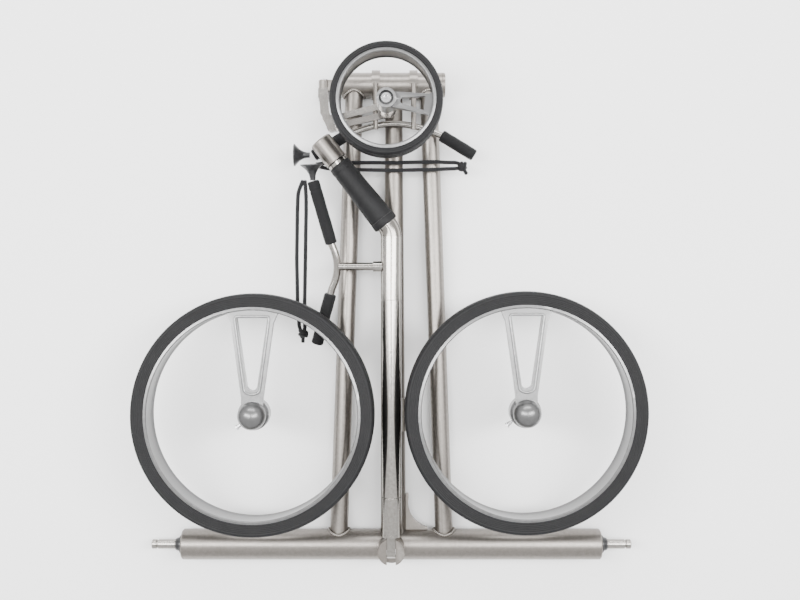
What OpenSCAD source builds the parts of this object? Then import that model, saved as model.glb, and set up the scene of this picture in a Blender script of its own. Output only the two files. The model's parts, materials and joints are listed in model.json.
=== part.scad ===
// Three-wheel golf trolley, folded flat: frame, mast, bag rests, front wheel on its
// swing arm, and the two drive wheels lying loose on the folded frame.
// +Z is up, +Y runs from the cross tube to the front wheel, the floor is Z = 0.

/* [Frame] */
// Outside diameter of the cross tube that holds the motors
cross_d = 37; // [32:0.5:44]
// Length of the cross tube
cross_len = 513; // [427:1:620]
// Wall of the cross tube
cross_wall = 2; // [1.5:0.1:3]
// Distance from the cross tube's axis to the top tube's axis
frame_len = 565; // [545:1:680]
// Outside diameter of the top tube
top_d = 30; // [26:0.5:35]
// Outside diameter of each leg
leg_d = 22; // [18:0.5:23]
// Wall of the legs, the centre tube and the top tube
tube_wall = 1.5; // [1:0.1:2.5]
// Half the distance between the legs at the cross tube
leg_foot_x = 65; // [58:0.5:80]
// Half the distance between the legs at the top tube
leg_top_x = 45.5; // [43:0.5:46]
// Right-hand end of the top tube
top_right_x = 66; // [60:1:90]
// Left-hand end of the top tube
top_left_x = 59; // [58.5:0.1:60]
// Diameter of the centre tube where it meets the cross tube
centre_foot_d = 30; // [24:0.5:34]
// Diameter of the centre tube where it meets the top tube
centre_top_d = 21; // [16:0.5:24]

/* [Mast] */
// Outside diameter of the mast and the handle tube
mast_d = 25; // [20.8:0.1:28]
// Wall of the mast tubes
mast_wall = 1.5; // [1:0.1:2]
// Height of the mast's axis above the floor
mast_z = 52; // [51:0.5:54]
// Where the mast's foot block ends and its tube starts
foot_y = 18.5; // [18:0.5:24]
// Turning joint of the mast, measured from the cross tube
twist_y = 65.5; // [55:0.5:90]
// Sliding joint of the mast, measured from the cross tube
slide_y = 300; // [250:1:305]
// Corner where the mast and the handle meet
bend_y = 383; // [375:1:395]
// Angle of the handle to the mast
handle_angle = 38.5; // [30:0.5:42]
// Turn of the handle and its bend out of the flat
handle_lift = 5; // [4:0.5:7]
// Bend radius of the handle
bend_r = 24; // [20:1:30]
// Length of the grip
grip_len = 91; // [80:1:92]
// Length of the speed knob
knob_len = 31; // [26:1:33]
// Diameter of the speed knob
knob_d = 27; // [24:0.5:27.5]

/* [Bag rests] */
// Distance of the upper rest from the cross tube
rest_y = 340; // [335:1:345]
// Tilt of the upper rest about its stem
rest_tilt = 9; // [8.5:0.5:12]
// Length of the upper rest's stem, from the mast's axis
stem_len = 62.5; // [62:0.5:66]
// Diameter of the rest arms
arm_d = 9; // [7:0.5:9.5]
// Outside diameter of the foam sleeves
foam_d = 15; // [13:0.5:15.5]
// Slope of the upper rest's arms
arm_slope = 15.6; // [12:0.2:18]
// Diameter of the bungee cords
bungee_d = 5; // [3.5:0.5:5]
// Middle of the lower rest
cradle_x = 3; // [0:0.5:5]
// Height of the lower rest's tube
cradle_z = 32.5; // [32.2:0.1:33]
// Wide end of the cord toggles
toggle_d = 27; // [20:1:28]

/* [Drive wheels] */
// Outside diameter of the drive wheels' tyres
wheel_d = 284; // [236:1:286]
// Width of the drive wheels' tyres
wheel_w = 38; // [32:1:42]
// Height of the lying drive wheels' middle plane
wheel_z = 70.5; // [70:0.5:80]
// Radial depth of the drive wheels' tyres
tyre_depth = 16; // [12:0.5:20]
// Diameter of the drive shafts' stubs
stub_d = 11.7; // [9.7:0.05:14.1]
// Length of the drive shafts' stubs outside the seals
stub_len = 28.5; // [22:0.5:36]
// Running clearance of a shaft or tube in its bore, on the radius
fit_gap = 0.06; // [0.03:0.01:0.1]

/* [Front wheel] */
// Outside diameter of the front tyre
front_d = 131; // [110:1:132]
// Width of the front tyre
front_w = 34; // [28:1:36]
// Height of the front wheel's lower face
front_z = 74; // [73:0.5:80]
// Distance from the front wheel's hub back to the top tube's axis
front_back = 35; // [33:0.5:38]
// Distance from the swing arm's hinge to the hub
swing_reach = 77.5; // [76:0.5:84]
// Front wheel axle diameter
axle_d = 8; // [6:0.5:8]

/* [Hidden] */
$fn = 64;
cross_r = cross_d / 2;
cross_z = cross_r;
top_z = top_d / 2;
leg_r = leg_d / 2;
mast_r = mast_d / 2;
mast_bore = mast_r - mast_wall;
handle_start = bend_r * tan(handle_angle / 2) + 0.5;
grip_end = handle_start + grip_len;
wheel_r = wheel_d / 2;
rim_r = wheel_r - tyre_depth;
left_wheel = [-161, 24 + wheel_r, wheel_z];
right_wheel = [157.5, 26.5 + wheel_r, wheel_z];
hub_r = 18.5;
// Release pins: turn from +Y, depth below the wheel's middle, bore
latch_turn = 128;
latch_z = -6;
latch_bore_r = 2.6;
// Drive shafts: start inside the cross tube, radius there, and length from start to seal's mouth
shaft_inset = 33;
shaft_r = stub_d / 2 - 0.4;
seal_len = 9;
ball_r = 16.5;
front_r = front_d / 2;
front_rim_r = front_r - 8;
hub_xy = [-5.3, frame_len - front_back];
pivot_x = hub_xy[0] - swing_reach;
pivot_y = frame_len - 8;
pivot_r = 7;
// Swing arm: its lower face, thickness, upper face, step and post
arm_low = top_z + 13;
arm_thick = 7;
arm_high = mast_z - 14;
step_x = -top_left_x - 7;
post_r = 8;
pin_r = 3;
boss_r = 16.5;
boss_top = mast_z + 5;
tongue_w = 10;
fold_pin_r = 4;
arm_r = arm_d / 2;
foam_r = foam_d / 2;
foam_hole = arm_r + 0.1;
upper_foams = [[25, 100], [-93, -33]];
cradle_tip_x = 96.5;
cradle_y = frame_len - 51;
cradle_root_x = 57.5;
cord_r = bungee_d / 2;
METAL = [0.66, 0.64, 0.61];
BRIGHT = [0.76, 0.75, 0.73];
RUBBER = [0.20, 0.20, 0.21];
BLACK = [0.09, 0.09, 0.10];

// ---- helpers -------------------------------------------------------------

// A round bar from point a to point b.
module bar(a, b, r, r2 = -1) {
    d = b - a;
    translate(a) rotate([0, acos(d[2] / norm(d)), atan2(d[1], d[0])])
        cylinder(h = norm(d), r1 = r, r2 = r2 < 0 ? r : r2);
}

// A round bar along X, from x0 to x1, at height z and depth y.
module bar_x(x0, x1, y, z, r) bar([x0, y, z], [x1, y, z], r);

// A round bar along Y, from y0 to y1.
module bar_y(y0, y1, x, z, r) bar([x, y0, z], [x, y1, z], r);

function unit(v) = v / norm(v);
// Direction of a route at point i.
function heading(p, i) =
    unit(p[min(i + 1, len(p) - 1)] - p[max(i - 1, 0)]);
// Ring of the sweep at point i, square to the route.
function ring(p, i, r, n) =
    let (t = heading(p, i), u = unit(cross(t, [0, 0, 1])), v = cross(u, t))
    [for (k = [0 : n - 1]) p[i] + r * (cos(360 * k / n) * u + sin(360 * k / n) * v)];

// A cord or bent tube swept along a route that never runs straight up.
module sweep(p, r, n = 10) {
    last = len(p) - 1;
    points = [for (i = [0 : last]) each ring(p, i, r, n)];
    sides = [for (i = [0 : last - 1], k = [0 : n - 1])
        [i * n + k, i * n + (k + 1) % n, (i + 1) * n + (k + 1) % n, (i + 1) * n + k]];
    start = [for (k = [0 : n - 1]) n - 1 - k];
    finish = [for (k = [0 : n - 1]) last * n + k];
    polyhedron(points, concat([start, finish], sides), convexity = 4);
}

// Point at share t of a quadratic curve from a to c, pulled towards b.
function curve(a, b, c, t) = a * (1 - t) * (1 - t) + b * 2 * t * (1 - t) + c * t * t;

// ---- frame ---------------------------------------------------------------

module crossbar_tube() color(METAL) translate([0, 0, cross_z]) rotate([0, 90, 0]) difference() {
    union() {
        cylinder(h = cross_len - 3, r = cross_r, center = true);
        for (s = [-1, 1]) translate([0, 0, s * (cross_len / 2 - 1.5)]) mirror([0, 0, s < 0 ? 1 : 0])
            cylinder(h = 1.5, r1 = cross_r, r2 = cross_r - 1.5);
    }
    cylinder(h = cross_len - 8, r = cross_r - cross_wall, center = true);
    for (s = [-1, 1]) translate([0, 0, s * cross_len / 2])
        cylinder(h = 10, r = stub_d / 2 + 2.2, center = true);
}

// The sealing ring and short cone where a shaft leaves the cross tube. side is -1 or 1.
module end_seal(side) color(BLACK)
    translate([side * cross_len / 2, 0, cross_z]) rotate([0, side * 90, 0]) difference() {
        union() {
            translate([0, 0, -3.8]) cylinder(h = 3.8, r = stub_d / 2 + 2.15);
            cylinder(h = 3, r = 10.8);
            translate([0, 0, 3]) cylinder(h = 5, r1 = 9, r2 = stub_d / 2 + 1.4);
        }
        translate([0, 0, -5]) cylinder(h = 15, r = stub_d / 2 + fit_gap);
    }

module left_end_seal() end_seal(-1);
module right_end_seal() end_seal(1);

// Motor and gearbox in one end of the cross tube, with a bore for the shaft's inner end.
module motor(side) color([0.35, 0.35, 0.37])
    translate([side * (cross_len / 2 - 4.2), 0, cross_z]) rotate([0, -side * 90, 0]) difference() {
        union() {
            cylinder(h = 46, r = cross_r - cross_wall - 0.3);
            translate([0, 0, 46]) cylinder(h = 100, r = cross_r - cross_wall - 2);
            translate([0, 0, 146]) cylinder(h = 6, r = 8);
        }
        translate([0, 0, -1]) cylinder(h = 31, r = stub_d / 2 + fit_gap);
    }

module left_motor() motor(-1);
module right_motor() motor(1);

// Four dome screws along the lower edge of the cross tube that hold the motors.
module motor_screws() color(METAL)
    for (s = [-1, 1], inset = [25, 72])
        translate([s * (cross_len / 2 - inset), 0, cross_z]) rotate([112, 0, 0]) {
            translate([0, 0, cross_r - 0.6]) cylinder(h = 1.2, r = 3.4);
            translate([0, 0, cross_r + 0.6]) cylinder(h = 1, r1 = 3.4, r2 = 1.8);
        }

// What the frame's tubes are cut by, so that they meet the cross tube and the top tube.
module frame_ends() {
    bar_x(-cross_len / 2, cross_len / 2, 0, cross_z, cross_r);
    bar_x(-top_left_x, top_right_x, frame_len, top_z, top_d / 2);
}

module leg(side) color(METAL) difference() {
    bar([side * leg_foot_x, 0, cross_z], [side * leg_top_x, frame_len, top_z], leg_r);
    bar([side * leg_foot_x, 0, cross_z], [side * leg_top_x, frame_len, top_z], leg_r - tube_wall);
    frame_ends();
}

module left_leg() leg(-1);
module right_leg() leg(1);

module centre_tube() color(METAL) difference() {
    bar([cradle_x, 0, cross_z], [cradle_x, frame_len, top_z], centre_foot_d / 2, centre_top_d / 2);
    bar([cradle_x, 0, cross_z], [cradle_x, frame_len, top_z],
        centre_foot_d / 2 - tube_wall, centre_top_d / 2 - tube_wall);
    frame_ends();
}

// Diameter of the centre tube at a distance y from the cross tube.
function centre_r(y) = (centre_foot_d + (centre_top_d - centre_foot_d) * y / frame_len) / 2;

// Curved plate in the corner between the centre tube and the cross tube.
module centre_gusset() color(METAL) difference() {
    translate([cradle_x, cross_r - 2, cross_z - 3]) cube([centre_foot_d / 2 + 26, 46, 6]);
    translate([cradle_x + centre_r(60) + 34, cross_r + 33, cross_z - 5]) cylinder(h = 10, r = 31);
    translate([cradle_x + centre_r(60) + 3.5, cross_r + 33, cross_z - 5]) cube([60, 30, 10]);
    translate([cradle_x + centre_r(60) + 34, cross_r + 2, cross_z - 5]) cube([60, 60, 10]);
    bar([cradle_x, -1, cross_z], [cradle_x, frame_len, top_z],
        centre_foot_d / 2 - 0.05, centre_top_d / 2 - 0.05);
    bar_x(-60, 90, 0, cross_z, cross_r - 0.05);
}

// Bright sleeve clamped on the centre tube, with a groove round it.
module centre_sleeve() color(BRIGHT) difference() {
    bar([cradle_x, 139, cross_z], [cradle_x, 180, cross_z - 1], centre_r(139) + 1.8);
    bar([cradle_x, 0, cross_z], [cradle_x, frame_len, top_z], centre_foot_d / 2, centre_top_d / 2);
    translate([cradle_x, 158.5, cross_z - 0.4]) rotate([90, 0, 0]) difference() {
        cylinder(h = 1.6, r = centre_r(139) + 4);
        translate([0, 0, -1]) cylinder(h = 4, r = centre_r(139) + 0.9);
    }
}

module top_tube() color(METAL) difference() {
    bar_x(-top_left_x, top_right_x - 3, frame_len, top_z, top_d / 2);
    bar_x(-top_left_x - 1, top_right_x + 1, frame_len, top_z, top_d / 2 - tube_wall);
}

module top_cap() color(METAL) {
    bar_x(top_right_x - 3, top_right_x - 0.8, frame_len, top_z, top_d / 2);
    bar_x(top_right_x - 0.8, top_right_x, frame_len, top_z, top_d / 2 - 0.8);
    bar_x(top_right_x - 10, top_right_x - 3, frame_len, top_z, top_d / 2 - tube_wall);
}

// Two cheeks on the cross tube that hold the mast's fold pin.
module hinge_cheeks() color(METAL) difference() {
    translate([0, 0, cross_z]) cylinder(h = boss_top - cross_z, r = boss_r);
    bar_x(-boss_r - 5, boss_r + 5, 0, cross_z, cross_r);
    bar([cradle_x, -1, cross_z], [cradle_x, frame_len, top_z], centre_foot_d / 2, centre_top_d / 2);
    translate([-tongue_w / 2 - 0.3, -boss_r - 5, mast_z - 9]) cube([tongue_w + 0.6, 60, 40]);
    bar_x(-boss_r - 1, boss_r + 1, 0, mast_z, fold_pin_r);
    translate([0, 0, boss_top - 1]) difference() {
        cylinder(h = 2, r = boss_r + 1);
        translate([0, 0, -0.1]) cylinder(h = 1.2, r1 = boss_r, r2 = boss_r - 1.1);
    }
}

module hinge_pin() color(BRIGHT) intersection() {
    bar_x(-boss_r, boss_r, 0, mast_z, fold_pin_r);
    translate([0, 0, cross_z]) cylinder(h = 60, r = boss_r - 0.3);
}

// ---- front wheel's swing arm ---------------------------------------------

// Fixed knuckle on the left end of the top tube.
module swing_lug() color(METAL) difference() {
    union() {
        bar_x(-top_left_x - 2, -top_left_x, frame_len, top_z, top_d / 2);
        bar_x(-top_left_x, -top_left_x + 8, frame_len, top_z, top_d / 2 - tube_wall);
        bar_y(pivot_y + 0.3, pivot_y + 13.5, pivot_x, top_z, pivot_r);
        translate([pivot_x, pivot_y + 0.3, top_z - 5])
            cube([-top_left_x - 1 - pivot_x, 13.2, 10]);
    }
    bar_y(pivot_y - 1, pivot_y + 15, pivot_x, top_z, pin_r);
}

module swing_pin() color(BRIGHT) {
    bar_y(pivot_y - 12.5, pivot_y + 14.5, pivot_x, top_z, pin_r);
    bar_y(pivot_y + 13.6, pivot_y + 15, pivot_x, top_z, pin_r + 1.5);
    bar_y(pivot_y - 13.8, pivot_y - 12.3, pivot_x, top_z, pin_r + 1.5);
}

// The arm's bar between two points, with a slightly wider round boss at each end.
module arm_bar(a, b, z, h, r) translate([0, 0, z]) linear_extrude(h) union() {
    d = b - a;
    translate(a) circle(r + 0.4);
    translate(b) circle(r + 0.4);
    translate(a) rotate(atan2(d[1], d[0])) translate([0, -r]) square([norm(d), 2 * r]);
}

// Moving arm: knuckle, riser, outer plate, step, two bars to the hub and the hub's post.
module swing_arm() color(METAL) difference() {
    corner = [pivot_x + 10, cradle_y - 5];
    fork_a = [step_x + 3, cradle_y + 6];
    fork_b = [step_x + 3, cradle_y - 4];
    union() {
        bar_y(pivot_y - 11.5, pivot_y - 0.3, pivot_x, top_z, pivot_r);
        translate([pivot_x - 6, pivot_y - 11.5, top_z]) cube([12, 11.2, arm_low + arm_thick - top_z]);
        arm_bar([pivot_x, pivot_y - 6], [pivot_x + 2, cradle_y + 14], arm_low, arm_thick, 5.2);
        arm_bar([pivot_x + 2, cradle_y + 14], corner, arm_low, arm_thick, 5);
        arm_bar(corner, fork_b, arm_low, arm_thick, 4.6);
        arm_bar([pivot_x + 4, cradle_y + 6], fork_a, arm_low, arm_thick, 4.4);
        arm_bar(fork_a, fork_b, arm_low, arm_high + 5.5 - arm_low, 4);
        arm_bar(fork_a, hub_xy + [-2, 5], arm_high, 5.5, 3.6);
        arm_bar(fork_b, hub_xy + [2, -6], arm_high, 5.5, 3.6);
        translate([hub_xy[0], hub_xy[1], arm_high]) cylinder(h = 5.5, r = post_r + 3.5);
        translate([hub_xy[0], hub_xy[1], arm_high + 5]) cylinder(h = front_z - 1 - arm_high - 5, r = post_r);
    }
    bar_y(pivot_y - 20, pivot_y + 1, pivot_x, top_z, pin_r + fit_gap);
    translate([hub_xy[0], hub_xy[1], arm_high + 2]) cylinder(h = 60, r = axle_d / 2);
}

module front_axle() color([0.55, 0.55, 0.56]) translate([hub_xy[0], hub_xy[1], 0]) difference() {
    union() {
        translate([0, 0, arm_high + 2.2]) cylinder(h = front_z + front_w - 8 - arm_high, r = axle_d / 2);
        translate([0, 0, front_z + front_w - 6]) cylinder(h = 5, r = axle_d / 2 + 2);
        translate([0, 0, front_z + front_w - 1]) cylinder(h = 1, r1 = axle_d / 2 + 2, r2 = axle_d / 2 + 1);
    }
    translate([0, 0, front_z + front_w - 3.5]) cylinder(h = 5, r = 2.9, $fn = 6);
}

module front_bearings() color([0.12, 0.12, 0.13]) translate([hub_xy[0], hub_xy[1], front_z])
    for (z = [1, front_w - 14]) translate([0, 0, z]) difference() {
        cylinder(h = 7, r = 8.4);
        translate([0, 0, -1]) cylinder(h = 9, r = axle_d / 2 + fit_gap);
    }

// One spoke of two legs with a long hole between them, running along +Y from a hub at the
// origin: far end at radius reach, half widths at the rim and at the hub.
module v_spoke(reach, rim_half, hub_half, hole_near, hole_far, near_half, far_half) difference() {
    intersection() {
        circle(reach);
        polygon([[-hub_half, 0], [hub_half, 0], [hub_half, hole_near * 0.7],
             [rim_half * 0.72, reach * 0.86], [rim_half * 0.84, reach * 0.94], [rim_half, reach],
             [-rim_half, reach], [-rim_half * 0.84, reach * 0.94], [-rim_half * 0.72, reach * 0.86],
             [-hub_half, hole_near * 0.7]]);
    }
    translate([0, hole_near + near_half]) circle(near_half);
    polygon([[-near_half, hole_near + near_half], [near_half, hole_near + near_half],
             [far_half, hole_far], [-far_half, hole_far]]);
}

module front_rim() color(BRIGHT) translate([hub_xy[0], hub_xy[1], front_z]) difference() {
    union() {
        rotate_extrude() polygon([
            [front_rim_r - 4.5, 2], [front_rim_r, 2], [front_rim_r, front_w - 2],
            [front_rim_r - 3, front_w - 1.5], [front_rim_r - 4.5, front_w - 2.5],
            [front_rim_r - 3, front_w - 6], [front_rim_r - 3, 5]]);
        cylinder(h = front_w - 1, r = 11.4);
        translate([0, 0, front_w - 15]) rotate([0, 0, -97]) linear_extrude(8)
            v_spoke(front_rim_r - 2, 16, 9, 16, 44, 3.5, 8);
    }
    translate([0, 0, -1]) cylinder(h = 9.1, r = 8.4);
    translate([0, 0, 7]) cylinder(h = front_w, r = axle_d / 2 + 1);
    translate([0, 0, front_w - 14]) cylinder(h = 20, r = 8.4);
}

module front_tyre() color(RUBBER) translate([hub_xy[0], hub_xy[1], front_z]) rotate_extrude()
    polygon([[front_rim_r, 0.6], [front_r - 4.5, 0], [front_r - 1.5, 3], [front_r, front_w / 2],
             [front_r - 1.5, front_w - 3], [front_r - 4.5, front_w], [front_rim_r, front_w - 0.6]]);

// ---- lower bag rest ------------------------------------------------------

// Clips over the top tube, and the rods from them to the rest's tube.
module cradle_saddles() color(METAL) for (x = [-22, 24]) translate([cradle_x + x, 0, 0]) {
    difference() {
        bar_x(-5, 5, frame_len, top_z, top_d / 2 + 3);
        bar_x(-6, 6, frame_len, top_z, top_d / 2 + 0.02);
        translate([-6, frame_len - 25, -40]) cube([12, 50, 42 + top_z - 10]);
    }
    difference() {
        bar([0, cradle_y - 7, cradle_z + 2.5], [0, frame_len - 2, cradle_z + 2.5], 3);
        bar_x(-6, 6, frame_len, top_z, top_d / 2 + 0.02);
    }
}

// Half of the lower rest's route, from its middle outwards. side is -1 or 1.
function cradle_half(side) = [for (t = [0 : 0.125 : 1])
    curve([cradle_x, cradle_y, cradle_z], [cradle_x + side * 24, cradle_y, cradle_z],
          [cradle_x + side * cradle_root_x, cradle_y - 14, cradle_z], t)];
function cradle_tip(side) = [cradle_x + side * cradle_tip_x, cradle_y - 38, cradle_z];
function cradle_root(side) = [cradle_x + side * cradle_root_x, cradle_y - 14, cradle_z];

module cradle_frame() color(BRIGHT) {
    left = cradle_half(-1);
    sweep(concat([cradle_tip(-1)], [for (i = [len(left) - 1 : -1 : 1]) left[i]],
                 cradle_half(1), [cradle_tip(1)]), arm_r - 0.5, 12);
}

// Foam sleeve between two points of a tube of radius r, closed at the far end.
module foam(a, b, hole) color(RUBBER) {
    d = b - a;
    run = norm(d);
    translate(a) rotate([0, acos(d[2] / run), atan2(d[1], d[0])]) rotate_extrude()
        polygon([[hole, 0], [foam_r - 1, 0], [foam_r, 1], [foam_r, run], [foam_r - 1.5, run + 1.5],
                 [0, run + 1.5], [0, run + 0.2], [hole, run + 0.2]]);
}

module left_cradle_foam() foam(cradle_root(-1), cradle_tip(-1), arm_r);
module right_cradle_foam() foam(cradle_root(1), cradle_tip(1), arm_r);

// Two strands between the ends of the lower rest.
module cradle_bungee() color(BLACK) for (s = [-1, 1])
    sweep([[cradle_x - 97, cradle_y - 50, cradle_z + 1],
           [cradle_x - 86, cradle_y - 51 + s * 2.8, cradle_z + 1],
           [cradle_x - 60, cradle_y - 51.5 + s * 4, cradle_z + 1],
           [cradle_x, cradle_y - 52 + s * 4.5, cradle_z + 1],
           [cradle_x + 50, cradle_y - 51 + s * 4.5, cradle_z + 1],
           [cradle_x + 80, cradle_y - 51 + s * 3, cradle_z + 1]], cord_r, 10);

// A trumpet-shaped toggle: its narrow end at point a, opening towards direction dir.
module toggle(a, angle) color(BLACK) translate(a) rotate(angle) rotate_extrude()
    polygon([[0, 0], [3.2, 0], [3.6, 4], [4.6, 8], [7, 12], [toggle_d / 2 - 3, 15.5],
             [toggle_d / 2, 18], [toggle_d / 2, 19.2], [toggle_d / 2 - 2, 19.2], [5, 15], [0, 13]]);

module cradle_toggle() toggle([cradle_x - 102, cradle_y - 38, cradle_z], [0, -90, 0]);

// A knot of cord, with its cut tail.
module knot(a, tail) color(BLACK) {
    translate(a) sphere(r = 6.6);
    bar(a, a + tail, cord_r);
}

module cradle_knot() knot([cradle_x + 83, cradle_y - 52, cradle_z + 1], [8, -9, 0.5]);

// ---- mast ----------------------------------------------------------------

// Foot block with the tongue that turns between the hinge cheeks, and the spigot above it.
module mast_foot() color(BRIGHT) difference() {
    union() {
        bar_x(-tongue_w / 2, tongue_w / 2, 0, mast_z, 8);
        translate([-tongue_w / 2, 0, mast_z - 8]) cube([tongue_w, foot_y + 1, 16]);
        bar_y(foot_y, foot_y + 3, 0, mast_z, mast_r);
        bar_y(foot_y + 3, twist_y - 0.3, 0, mast_z, mast_bore);
        bar_y(twist_y - 1, twist_y + 40, 0, mast_z, mast_bore - fit_gap);
    }
    bar_x(-boss_r, boss_r, 0, mast_z, fold_pin_r + fit_gap);
}

// A length of mast tube.
module mast_tube(y0, y1, r, bore) difference() {
    bar_y(y0, y1, 0, mast_z, r);
    bar_y(y0 - 1, y1 + 1, 0, mast_z, bore);
}

module mast_lower_tube() color(BRIGHT) mast_tube(foot_y + 3, twist_y - 0.25, mast_r, mast_bore);
module mast_mid_tube() color(BRIGHT) mast_tube(twist_y + 0.25, slide_y - 0.25, mast_r, mast_bore);

module mast_inner_tube() color(METAL)
    mast_tube(twist_y + 55, bend_y - handle_start - 4, mast_bore - fit_gap, mast_bore - fit_gap - 1.5);

// Moves a shape drawn along +Y from the origin to the handle's place.
module at_handle() translate([0, 0, mast_z]) rotate([0, handle_lift, 0])
    translate([0, bend_y, 0]) rotate([0, 0, handle_angle]) children();

// Turns a shape drawn along +Z so that it runs along +Y.
module along_y() rotate([-90, 0, 0]) children();

// Straight tube, bend and handle tube in one piece, with the bore all through.
module mast_upper_tube() color(BRIGHT) {
    back = bend_r * tan(handle_angle / 2);
    mast_tube(slide_y + 0.25, bend_y - back + 0.6, mast_r, mast_bore);
    translate([0, 0, mast_z]) rotate([0, handle_lift, 0]) translate([-bend_r, bend_y - back, 0])
        rotate_extrude(angle = handle_angle) translate([bend_r, 0]) difference() {
            circle(mast_r - 0.05);
            circle(mast_bore + 0.05);
        }
    at_handle() along_y() translate([0, 0, back - 0.6]) difference() {
        cylinder(h = grip_len + 4.6, r = mast_r);
        translate([0, 0, -1]) cylinder(h = grip_len + 8, r = mast_bore);
    }
}

// Padded grip: flared hem at the mast's end, plain collar at the knob's end.
module grip_sleeve() color([0.16, 0.16, 0.17])
    at_handle() along_y() translate([0, 0, handle_start]) rotate_extrude() polygon([
        [mast_r + 0.05, 0], [mast_r + 2.6, 0], [mast_r + 3.4, 2], [mast_r + 3, 9],
        [mast_r + 2.2, 34], [mast_r + 1.4, grip_len - 10], [mast_r + 1.2, grip_len - 1],
        [mast_r + 0.7, grip_len], [mast_r + 0.05, grip_len]]);

// Knob that sets the speed, at the end of the handle.
module speed_knob() color(METAL)
    at_handle() along_y() translate([0, 0, grip_end + 5]) difference() {
        union() {
            cylinder(h = knob_len - 1.6, r = knob_d / 2);
            translate([0, 0, knob_len - 1.6]) cylinder(h = 1.6, r1 = knob_d / 2, r2 = knob_d / 2 - 1.6);
        }
        translate([0, 0, knob_len - 0.8]) cylinder(h = 2, r = knob_d / 2 - 3.2);
        translate([0, 0, -1]) cylinder(h = 17, r = 4);
    }

module dial_spindle() color([0.4, 0.4, 0.42])
    at_handle() along_y() translate([0, 0, grip_end - 14]) {
        cylinder(h = 16, r = mast_bore - fit_gap);
        cylinder(h = 34, r = 4 - fit_gap);
    }

// ---- upper bag rest ------------------------------------------------------

module rest_collar() color(BRIGHT) difference() {
    bar_x(-mast_r - 9, -mast_r + 3, rest_y, mast_z, 6.5);
    bar_y(rest_y - 20, rest_y + 20, 0, mast_z, mast_r);
    bar_x(-mast_r - 12, -mast_r + 5, rest_y, mast_z, 3 + fit_gap);
}

// Places the upper rest's flat drawing: x along the stem, y along the arms.
module at_rest_arm() translate([0, rest_y, mast_z]) rotate([rest_tilt, 0, 0]) children();

function rest_point(v) = [-stem_len - abs(v) * tan(arm_slope) - 1, v, 0];

// Stem with its pivot pin, and the bent tube that carries the foam sleeves.
module rest_arm() color(BRIGHT) at_rest_arm() {
    ends = [upper_foams[1][0], upper_foams[0][1]];
    bar_x(-mast_r - 9.3, -mast_r - 2, 0, 0, 3);
    bar_x(-stem_len, -mast_r - 9.2, 0, 0, arm_r + 0.2);
    sweep(concat([rest_point(ends[0])], [for (t = [0 : 0.125 : 1])
        curve(rest_point(-26), [-stem_len + 4.5, 0, 0], rest_point(26), t)],
        [rest_point(ends[1])]), arm_r, 12);
}

module upper_foam() at_rest_arm()
    foam(rest_point(upper_foams[0][0] + 2), rest_point(upper_foams[0][1]), foam_hole);
module lower_foam() at_rest_arm()
    foam(rest_point(upper_foams[1][1]), rest_point(upper_foams[1][0]), foam_hole);

// Two strands from the upper foam's end to the knot beside the lower foam's end.
module rest_bungee() color(BLACK) at_rest_arm() for (s = [-1, 1])
    sweep([[-stem_len - 39, 104, 3],
           [-stem_len - 42 + s * 4, 92, 1],
           [-stem_len - 43 + s * 5, 70, 0],
           [-stem_len - 45 + s * 5, 10, -1],
           [-stem_len - 46 + s * 4, -50, -2],
           [-stem_len - 45 + s * 2.8, -78, -2]], cord_r, 10);

module rest_toggle() at_rest_arm() {
    tip = rest_point(upper_foams[0][1]);
    toggle(tip + [-0.5, 2, 0], [-90, 0, 4]);
}

module rest_knot() at_rest_arm() knot([-stem_len - 44, -82, -2], [1.5, -12, 0.5]);

// ---- drive shafts and drive wheels ----------------------------------------

// Shaft stub with a latch groove near its end and a chamfered tip.
module shaft(side) color(BRIGHT)
    translate([side * (cross_len / 2 - shaft_inset), 0, cross_z]) rotate([0, side * 90, 0]) {
        inner = shaft_inset + seal_len;
        run = inner + stub_len;
        cylinder(h = inner, r = shaft_r);
        translate([0, 0, inner]) cylinder(h = stub_len - 8, r = stub_d / 2);
        translate([0, 0, run - 8]) cylinder(h = 2.4, r = stub_d / 2 - 1.2);
        translate([0, 0, run - 5.6]) cylinder(h = 4.6, r = stub_d / 2);
        translate([0, 0, run - 1]) cylinder(h = 1, r1 = stub_d / 2, r2 = stub_d / 2 - 1);
    }

module left_shaft() shaft(-1);
module right_shaft() shaft(1);

module wheel_tyre(at) color(RUBBER) translate(at) rotate_extrude($fn = 96)
    polygon([[rim_r, -wheel_w / 2 + 1], [wheel_r - 6, -wheel_w / 2], [wheel_r - 2, -wheel_w / 2 + 5],
             [wheel_r, 0], [wheel_r - 2, wheel_w / 2 - 5], [wheel_r - 6, wheel_w / 2],
             [rim_r, wheel_w / 2 - 1]]);

// Hoop, single V spoke and hub in one casting. turn swings the spoke from +Y.
module wheel_rim(at, turn) color(BRIGHT) translate(at) difference() {
    half = wheel_w / 2;
    union() {
        rotate_extrude($fn = 96) polygon([
            [rim_r - 4, -half + 1.5], [rim_r, -half + 1.5], [rim_r, half - 1.5],
            [rim_r - 3, half - 1], [rim_r - 4, half - 2], [rim_r - 2.2, half - 6],
            [rim_r - 2.2, -half + 6]]);
        translate([0, 0, half - 15]) rotate([0, 0, turn]) linear_extrude(11)
            v_spoke(rim_r - 2, 34, 12.5, 29, 113, 6.5, 18);
        translate([0, 0, -12]) cylinder(h = half - 3, r = hub_r);
        translate([0, 0, half - 15]) cylinder(h = 11, r = hub_r - 3);
    }
    translate([0, 0, -13]) cylinder(h = half + 5, r = stub_d / 2 + 2.5);
    rotate([0, 0, turn + latch_turn]) translate([0, 0, latch_z]) rotate([-90, 0, 0])
        cylinder(h = 40, r = latch_bore_r);
}

// Round cap on the hub.
module hub_ball(at) color(BRIGHT) translate(at + [0, 0, wheel_w / 2 - 4]) intersection() {
    translate([0, 0, 2]) sphere(r = ball_r);
    cylinder(h = 40, r = ball_r + 1);
}

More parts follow.
